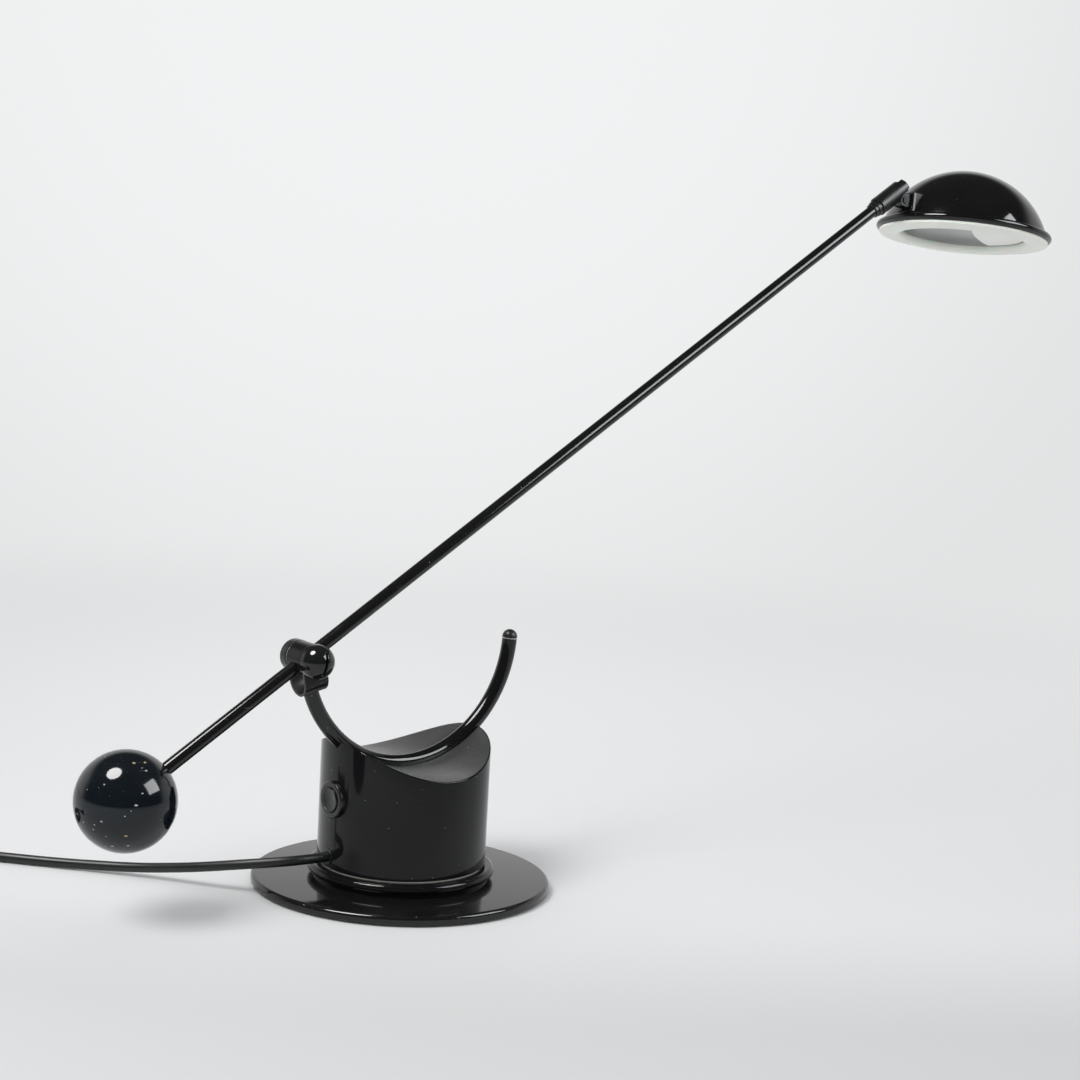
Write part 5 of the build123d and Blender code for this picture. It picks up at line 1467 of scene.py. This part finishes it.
# ---------------------------------------------------------------- mains cord
def coil_at(turns):
    """A point of the coil's centre line: inwards in the lower layer, then outwards in the upper."""
    half = COIL_TURNS / 2
    away = abs(turns - half)
    spread = away if away > COIL_CLIMB else (away**2 + COIL_CLIMB**2) / (2 * COIL_CLIMB)
    radius = COIL_R - COIL_PITCH * (half - spread)
    share = min(max((turns - half + COIL_CLIMB) / (2 * COIL_CLIMB), 0), 1)
    height = CORD_R + COIL_LAYER * (share - sin(2 * pi * share) / (2 * pi))
    angle = COIL_START + 2 * pi * turns
    return COIL_CENTRE + Vector((radius * cos(angle), radius * sin(angle), height))


def coil_heading(turns):
    step = 0.0005
    return (coil_at(min(turns + step, COIL_TURNS)) - coil_at(max(turns - step, 0))).normalized()


def softened_route(points, steps=8):
    """A polyline's points with each corner turned into an arc, as large as its runs allow."""
    route = [Vector(points[0])]
    for before, here, after in zip(points, points[1:], points[2:]):
        back, ahead = Vector(before) - Vector(here), Vector(after) - Vector(here)
        reach = 0.45 * min(back.length, ahead.length)
        first, last = Vector(here) + back.normalized() * reach, Vector(here) + ahead.normalized() * reach
        route += [
            first * (1 - t) ** 2 + Vector(here) * 2 * t * (1 - t) + last * t**2
            for t in (k / steps for k in range(steps + 1))
        ]
    route.append(Vector(points[-1]))
    return route


def cord_exit():
    way_out = Vector((cos(CORD_AZIMUTH), sin(CORD_AZIMUTH), 0))
    return way_out * (sizes().drum_radius + GROMMET_LIP) + Vector((0, 0, CORD_UP)), way_out


def plug_place():
    """Where the cord meets the plug, and the plug's heading."""
    heading = coil_heading(COIL_TURNS)
    half_turned = Matrix.Rotation(LEAD_TURN / 2, 3, "Z") @ heading
    turned_to = Matrix.Rotation(LEAD_TURN, 3, "Z") @ heading
    start = coil_at(COIL_TURNS) + heading * sizes().cord_diameter
    leave = start + heading * LEAD_RUNS[0]
    arrive = leave + half_turned * LEAD_RUNS[1]
    arrive.z = PLUG_T / 2
    return [start, leave, arrive, arrive + turned_to * LEAD_RUNS[2]], turned_to


def add_cord():
    start, way_out = cord_exit()
    into_coil = coil_heading(0)
    coil_start = coil_at(0) - into_coil * sizes().cord_diameter
    first = softened_route(
        [start, start + way_out * CORD_STRAIGHT_OUT, *ROUTE, coil_start - into_coil * COIL_RUN_IN, coil_start])
    turns = [k / COIL_POINTS for k in range(int(COIL_TURNS * COIL_POINTS) + 1)]
    lead, heading = plug_place()
    points = first + [coil_at(t) for t in turns] + softened_route(lead)

    curve = bpy.data.curves.new("Mains_cord", "CURVE")
    curve.dimensions = "3D"
    curve.bevel_depth = sizes().cord_diameter / 2
    curve.bevel_resolution = 8
    curve.use_fill_caps = True
    curve.resolution_u = 4
    spline = curve.splines.new("NURBS")
    spline.points.add(len(points) - 1)
    for point, at in zip(spline.points, points):
        point.co = (*at, 1)
    spline.order_u = 3
    spline.use_endpoint_u = True
    cord = bpy.data.objects.new("Mains_cord", curve)
    bpy.context.scene.collection.objects.link(cord)
    cord.data.materials.append(cord_rubber())
    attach(cord, CORD_BODY)
    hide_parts("mains_cord", "cord_coil", "plug_lead")

    plug = add_plug(lead[-1], heading)
    dress("plug_pins", bright_brass())


def add_plug(at, heading):
    """The flat two-pin plug and the ribbed relief behind it."""
    here = frame_matrix(at, heading, (0, 0, 1))
    half = PLUG_W / 2
    neck = CORD_R + 0.6 * MM
    shoulder = 0.55 * PLUG_L
    outline = rounded(
        [(0, neck), (0, -neck), (shoulder, -half), (PLUG_L, -half), (PLUG_L, half), (shoulder, half)],
        [0, 0, PLUG_NOSE, PLUG_NOSE, PLUG_NOSE, PLUG_NOSE], 8)
    body = drawn("Plug", outline, PLUG_T)
    soften(body, 1.9 * MM, 5, 60)
    for side in (-1, 1):
        for k in range(4):
            rib = block(
                "Grip_tool", (shoulder - 9 * MM + 3.2 * k * MM, side * 30 * MM, -PLUG_T / 4),
                (shoulder - 7.6 * MM + 3.2 * k * MM, side * (neck + (half - neck) * (shoulder - 8.3 * MM + 3.2 * k * MM) / shoulder - 0.7 * MM), PLUG_T / 4)
                if side > 0 else
                (shoulder - 7.6 * MM + 3.2 * k * MM, -(neck + (half - neck) * (shoulder - 8.3 * MM + 3.2 * k * MM) / shoulder - 0.7 * MM), PLUG_T / 4))
            cut(body, rib)
    place(body, here)
    finish_piece(body, CORD_BODY, "black_plastic", black_plastic(), "plug_body")

    root, tip = CORD_R + 1.3 * MM, CORD_R + 0.5 * MM
    outline = [(CORD_R + 0.05 * MM, 1 * MM)]
    ribs = 5
    for k in range(ribs):
        outer = root + (tip - root) * k / (ribs - 1)
        near = 2.6 * MM * k
        outline += [(outer, -near), (outer, -near - 1.7 * MM), (outer - 0.6 * MM, -near - 2.0 * MM), (outer - 0.6 * MM, -near - 2.4 * MM)]
    outline.append((CORD_R + 0.05 * MM, outline[-1][1]))
    relief = place(turned("Plug_strain_relief", outline, steps=48), frame_matrix(at, (0, 0, 1), heading))
    finish_piece(relief, CORD_BODY, "cord_rubber", cord_rubber())
    return [body, relief]


# ---------------------------------------------------------------- camera, lamps and floor
def camera_axes():
    look = bpy.context.scene.desk_lamp_studio
    back = Vector((
        sin(look.azimuth) * cos(look.elevation), -cos(look.azimuth) * cos(look.elevation), sin(look.elevation)))
    level = (-back).cross(Vector((0, 0, 1))).normalized()
    upright = level.cross(-back)
    right = level * cos(look.roll) + upright * sin(look.roll)
    up = upright * cos(look.roll) - level * sin(look.roll)
    return right, up, back


def add_camera():
    look = bpy.context.scene.desk_lamp_studio
    right, up, back = camera_axes()
    data = bpy.data.cameras.new("Camera")
    data.lens = look.focal
    data.sensor_width = 36
    data.clip_start = 0.05
    data.clip_end = 30
    camera = bpy.data.objects.new("Camera", data)
    bpy.context.scene.collection.objects.link(camera)
    turned_to = Matrix((right, up, back)).transposed().to_4x4()
    camera.matrix_world = Matrix.Translation(Vector(look.target) + back * look.distance) @ turned_to
    scene = bpy.context.scene
    scene.camera = camera
    scene.render.resolution_x = 1080
    scene.render.resolution_y = 1080
    scene.view_settings.view_transform = "Standard"


def add_softbox(name, direction, distance, width, height, power, colour, shape, seen):
    """A soft lamp that either lights what scatters light or shows in reflections."""
    data = bpy.data.lights.new(name, "AREA")
    data.shape = shape
    data.size = width
    if shape in ("RECTANGLE", "ELLIPSE"):
        data.size_y = height
    data.energy = power
    data.color = colour
    lamp = bpy.data.objects.new(name, data)
    bpy.context.scene.collection.objects.link(lamp)
    towards = Vector(direction).normalized()
    lamp.matrix_world = frame_matrix(
        Vector((0, 0, 0.2)) + towards * distance, (-towards.y, towards.x, 0), towards)
    lamp.visible_glossy = seen
    lamp.visible_diffuse = not seen


def backdrop_group():
    """The pale backdrop's tone along a direction, with a painted pool of light: brightest a little above the middle of
    the view.
    """
    look = bpy.context.scene.desk_lamp_studio
    group, given, result = outputs_of(
        "Backdrop tone", [("NodeSocketColor", "Tone")], [("NodeSocketVector", "Direction", (0, 1, 0))])
    right, up, back = camera_axes()
    middle = (up * 0.24 - back - right * 0.053).normalized()
    centre = node(
        group, "ShaderNodeVectorMath", [(0, given.outputs["Direction"]), (1, tuple(middle))],
        operation="DOT_PRODUCT")
    bright = ramped(group, centre.outputs["Value"], cos(radians(19)), 1.0)
    edge, pale = (opaque([c * k for c in look.backdrop]) for k in (BACKDROP_EDGE, BACKDROP_MIDDLE))
    group.links.new(blended(group, bright, edge, pale), result.inputs["Tone"])
    return group


def add_floor():
    clear_selection()
    bpy.ops.mesh.primitive_circle_add(vertices=96, radius=9, fill_type="NGON", location=(0, 0, -0.0002))
    floor = place(as_piece("Floor"), Matrix.Identity(4))
    look = bpy.context.scene.desk_lamp_studio
    material = bpy.data.materials.new("Floor")
    material.use_nodes = True
    tree = material.node_tree
    shader = tree.nodes["Principled BSDF"]
    shader.inputs["Roughness"].default_value = 0.75
    shader.inputs["Specular IOR Level"].default_value = 0.25
    place_at = node(tree, "ShaderNodeTexCoord").outputs["Object"]
    eye = bpy.context.scene.camera.matrix_world.translation
    away = node(tree, "ShaderNodeVectorMath", [(0, place_at), (1, tuple(eye))], operation="SUBTRACT")
    sight = node(tree, "ShaderNodeVectorMath", [(0, away.outputs[0])], operation="NORMALIZE")
    backdrop = use(tree, "Backdrop tone", backdrop_group)
    tree.links.new(sight.outputs[0], backdrop.inputs["Direction"])
    glow = node(tree, "ShaderNodeEmission", [("Color", backdrop.outputs["Tone"]), ("Strength", 1.0)])
    right, up, back = camera_axes()
    nearer = node(
        tree, "ShaderNodeVectorMath", [(0, place_at), (1, (back.x, back.y, 0))], operation="DOT_PRODUCT")
    across = node(tree, "ShaderNodeVectorMath", [(0, place_at), (1, (right.x, right.y, 0))], operation="DOT_PRODUCT")
    # Painted light and shade on the floor: its colour goes from the lighter far tone to the darker near tone toward the
    # camera and to the sides.
    tone = maths(
        tree, "ADD", ramped(tree, nearer.outputs["Value"], -0.8, 0.06, 0.0, 0.43),
        ramped(tree, nearer.outputs["Value"], 0.0, 0.27, 0.0, 0.57))
    painted_side_shade = maths(
        tree, "ADD", ramped(tree, across.outputs["Value"], -0.55, -0.05, 0.3, 0.0),
        ramped(tree, across.outputs["Value"], 0.0, 0.6, 0.0, 0.08))
    tone = maths(tree, "ADD", tone, painted_side_shade, clamp=True)
    far, near = (opaque([c * k for c in look.floor]) for k in (FLOOR_PAINTED_LIGHT_FAR, FLOOR_PAINTED_SHADE_NEAR))
    tree.links.new(blended(tree, tone, far, near), shader.inputs["Base Color"])
    reach = node(tree, "ShaderNodeVectorMath", [(0, place_at)], operation="LENGTH").outputs["Value"]
    fade = ramped(tree, reach, 0.45, 1.5)
    camera_only = node(tree, "ShaderNodeLightPath").outputs["Is Camera Ray"]
    mixed = node(tree, "ShaderNodeMixShader")
    tree.links.new(maths(tree, "MULTIPLY", fade, camera_only), mixed.inputs[0])
    tree.links.new(shader.outputs[0], mixed.inputs[1])
    tree.links.new(glow.outputs[0], mixed.inputs[2])
    tree.links.new(mixed.outputs[0], tree.nodes["Material Output"].inputs["Surface"])
    floor.data.materials.clear()
    floor.data.materials.append(material)


def set_world():
    """A pale room: the backdrop's tone with its painted pool of light for the camera, darker behind the camera for
    reflections, soft light elsewhere.
    """
    look = bpy.context.scene.desk_lamp_studio
    world = bpy.data.worlds.new("Room")
    bpy.context.scene.world = world
    world.use_nodes = True
    tree = world.node_tree
    background = tree.nodes["Background"]
    path = node(tree, "ShaderNodeLightPath")
    direction = node(tree, "ShaderNodeTexCoord").outputs["Generated"]
    right, up, back = camera_axes()
    behind = node(tree, "ShaderNodeVectorMath", [(0, direction), (1, tuple(back))], operation="DOT_PRODUCT").outputs["Value"]
    height = node(tree, "ShaderNodeSeparateXYZ", [("Vector", direction)]).outputs["Z"]
    seen = maths(tree, "MAXIMUM", path.outputs["Is Glossy Ray"], path.outputs["Is Transmission Ray"])
    beyond = ramped(tree, behind, -0.45, 0.15, 1.0, 0.0)
    level = ramped(tree, height, 0.30, 0.66, 1.0, 0.0)
    reflected = ramped(tree, maths(tree, "MULTIPLY", beyond, level), 0.0, 1.0, ROOM_DARK, ROOM_PALE)
    scattered = ramped(tree, height, 0.1, 0.7, ROOM_LOW, ROOM_LIGHT)
    lit = blended(tree, seen, scattered, reflected)
    backdrop = use(tree, "Backdrop tone", backdrop_group)
    tree.links.new(direction, backdrop.inputs["Direction"])
    tint = blended(tree, path.outputs["Is Camera Ray"], lit, backdrop.outputs["Tone"])
    tree.links.new(tint, background.inputs["Color"])
    background.inputs["Strength"].default_value = 1.0


def set_stage():
    add_camera()
    add_floor()
    set_world()
    white, cool = (1.0, 0.995, 0.985), (0.96, 0.985, 1.0)
    add_softbox("Overhead_light", SHADOW_FROM, 1.7, 0.8, 0.8, OVERHEAD_POWER, white, "DISK", False)
    add_softbox("Side_light", SIDE_FROM, 1.9, 1.2, 0.9, SIDE_POWER, cool, "RECTANGLE", False)
    add_softbox("Overhead_glare", OVERHEAD_FROM, 1.6, 0.80, 0.80, OVERHEAD_GLARE, white, "DISK", True)
    add_softbox("Side_glare", SIDE_FROM, 1.8, 1.05, 0.8, SIDE_GLARE, cool, "RECTANGLE", True)


# ---------------------------------------------------------------- operators

class DESKLAMP_OT_cord(bpy.types.Operator):
    """Lays the mains cord from the drum through its coil to the plug"""

    bl_idname = "desk_lamp.cord"
    bl_label = "Mains Cord"
    bl_options = {"REGISTER", "UNDO"}

    def execute(self, context):
        add_cord()
        return {"FINISHED"}


class DESKLAMP_OT_base(bpy.types.Operator):
    """Makes the round base and the collar that the drum turns on"""

    bl_idname = "desk_lamp.base"
    bl_label = "Base"
    bl_options = {"REGISTER", "UNDO"}

    def execute(self, context):
        add_base()
        return {"FINISHED"}


class DESKLAMP_OT_drum(bpy.types.Operator):
    """Makes the drum with its hollowed top, groove and holes"""

    bl_idname = "desk_lamp.drum"
    bl_label = "Drum"
    bl_options = {"REGISTER", "UNDO"}

    def execute(self, context):
        add_drum()
        return {"FINISHED"}


class DESKLAMP_OT_fittings(bpy.types.Operator):
    """Makes the switch and grommet and dresses what is inside the drum"""

    bl_idname = "desk_lamp.fittings"
    bl_label = "Switch and Fittings"
    bl_options = {"REGISTER", "UNDO"}

    def execute(self, context):
        add_drum_fittings()
        return {"FINISHED"}


class DESKLAMP_OT_arc(bpy.types.Operator):
    """Makes the slotted arc tube and its end cap"""

    bl_idname = "desk_lamp.arc"
    bl_label = "Arc"
    bl_options = {"REGISTER", "UNDO"}

    def execute(self, context):
        add_arc()
        return {"FINISHED"}


class DESKLAMP_OT_yoke(bpy.types.Operator):
    """Makes the strap that holds the pivot"""

    bl_idname = "desk_lamp.yoke"
    bl_label = "Yoke"
    bl_options = {"REGISTER", "UNDO"}

    def execute(self, context):
        add_yoke()
        return {"FINISHED"}


class DESKLAMP_OT_pivot(bpy.types.Operator):
    """Makes the pivot's barrel, tension knob and rear cap"""

    bl_idname = "desk_lamp.pivot"
    bl_label = "Pivot"
    bl_options = {"REGISTER", "UNDO"}

    def execute(self, context):
        add_pivot()
        return {"FINISHED"}


class DESKLAMP_OT_arm(bpy.types.Operator):
    """Makes the arm tube and its stop ring"""

    bl_idname = "desk_lamp.arm"
    bl_label = "Arm"
    bl_options = {"REGISTER", "UNDO"}

    def execute(self, context):
        add_arm()
        return {"FINISHED"}


class DESKLAMP_OT_ball(bpy.types.Operator):
    """Makes the counterweight ball"""

    bl_idname = "desk_lamp.ball"
    bl_label = "Counterweight"
    bl_options = {"REGISTER", "UNDO"}

    def execute(self, context):
        add_ball()
        return {"FINISHED"}


class DESKLAMP_OT_sleeve(bpy.types.Operator):
    """Makes the sleeve at the arm's upper end"""

    bl_idname = "desk_lamp.sleeve"
    bl_label = "Head Sleeve"
    bl_options = {"REGISTER", "UNDO"}

    def execute(self, context):
        add_sleeve()
        return {"FINISHED"}


class DESKLAMP_OT_bracket(bpy.types.Operator):
    """Makes the bracket between the sleeve and the shade"""

    bl_idname = "desk_lamp.bracket"
    bl_label = "Head Bracket"
    bl_options = {"REGISTER", "UNDO"}

    def execute(self, context):
        add_bracket()
        return {"FINISHED"}


class DESKLAMP_OT_shade(bpy.types.Operator):
    """Makes the domed shade and the ring under it"""

    bl_idname = "desk_lamp.shade"
    bl_label = "Shade"
    bl_options = {"REGISTER", "UNDO"}

    def execute(self, context):
        add_shade()
        return {"FINISHED"}


class DESKLAMP_OT_light_parts(bpy.types.Operator):
    """Makes the reflector, lamp holder and bulb"""

    bl_idname = "desk_lamp.light_parts"
    bl_label = "Lamp Holder"
    bl_options = {"REGISTER", "UNDO"}

    def execute(self, context):
        add_light_parts()
        return {"FINISHED"}


class DESKLAMP_OT_stage(bpy.types.Operator):
    """Sets the camera, the floor, the room and the softboxes"""

    bl_idname = "desk_lamp.stage"
    bl_label = "Studio"
    bl_options = {"REGISTER", "UNDO"}

    def execute(self, context):
        set_stage()
        return {"FINISHED"}


class DESKLAMP_PT_panel(bpy.types.Panel):
    """Every setting of the lamp and its studio, and a button for each piece"""

    bl_label = "Desk Lamp"
    bl_space_type = "VIEW_3D"
    bl_region_type = "UI"
    bl_category = "Desk Lamp"

    def draw(self, context):
        for settings in (
            context.scene.desk_lamp_sizes, context.scene.desk_lamp_finishes, context.scene.desk_lamp_studio
        ):
            box = self.layout.box()
            for name in settings.__annotations__:
                box.prop(settings, name)
        for operator in PIECES:
            self.layout.operator(operator.bl_idname)


PIECES = (
    DESKLAMP_OT_cord,
    DESKLAMP_OT_base,
    DESKLAMP_OT_drum,
    DESKLAMP_OT_fittings,
    DESKLAMP_OT_arc,
    DESKLAMP_OT_yoke,
    DESKLAMP_OT_pivot,
    DESKLAMP_OT_arm,
    DESKLAMP_OT_ball,
    DESKLAMP_OT_sleeve,
    DESKLAMP_OT_bracket,
    DESKLAMP_OT_shade,
    DESKLAMP_OT_light_parts,
    DESKLAMP_OT_stage,
)
CLASSES = (LampSizes, LampFinishes, StudioSettings, *PIECES, DESKLAMP_PT_panel)


def register():
    for made in CLASSES:
        bpy.utils.register_class(made)
    bpy.types.Scene.desk_lamp_sizes = bpy.props.PointerProperty(type=LampSizes)
    bpy.types.Scene.desk_lamp_finishes = bpy.props.PointerProperty(type=LampFinishes)
    bpy.types.Scene.desk_lamp_studio = bpy.props.PointerProperty(type=StudioSettings)


def unregister():
    del bpy.types.Scene.desk_lamp_studio
    del bpy.types.Scene.desk_lamp_finishes
    del bpy.types.Scene.desk_lamp_sizes
    for made in reversed(CLASSES):
        bpy.utils.unregister_class(made)


def main():
    register()
    for operator in PIECES:
        getattr(bpy.ops.desk_lamp, operator.bl_idname.split(".")[1])()


if __name__ == "__main__":
    main()
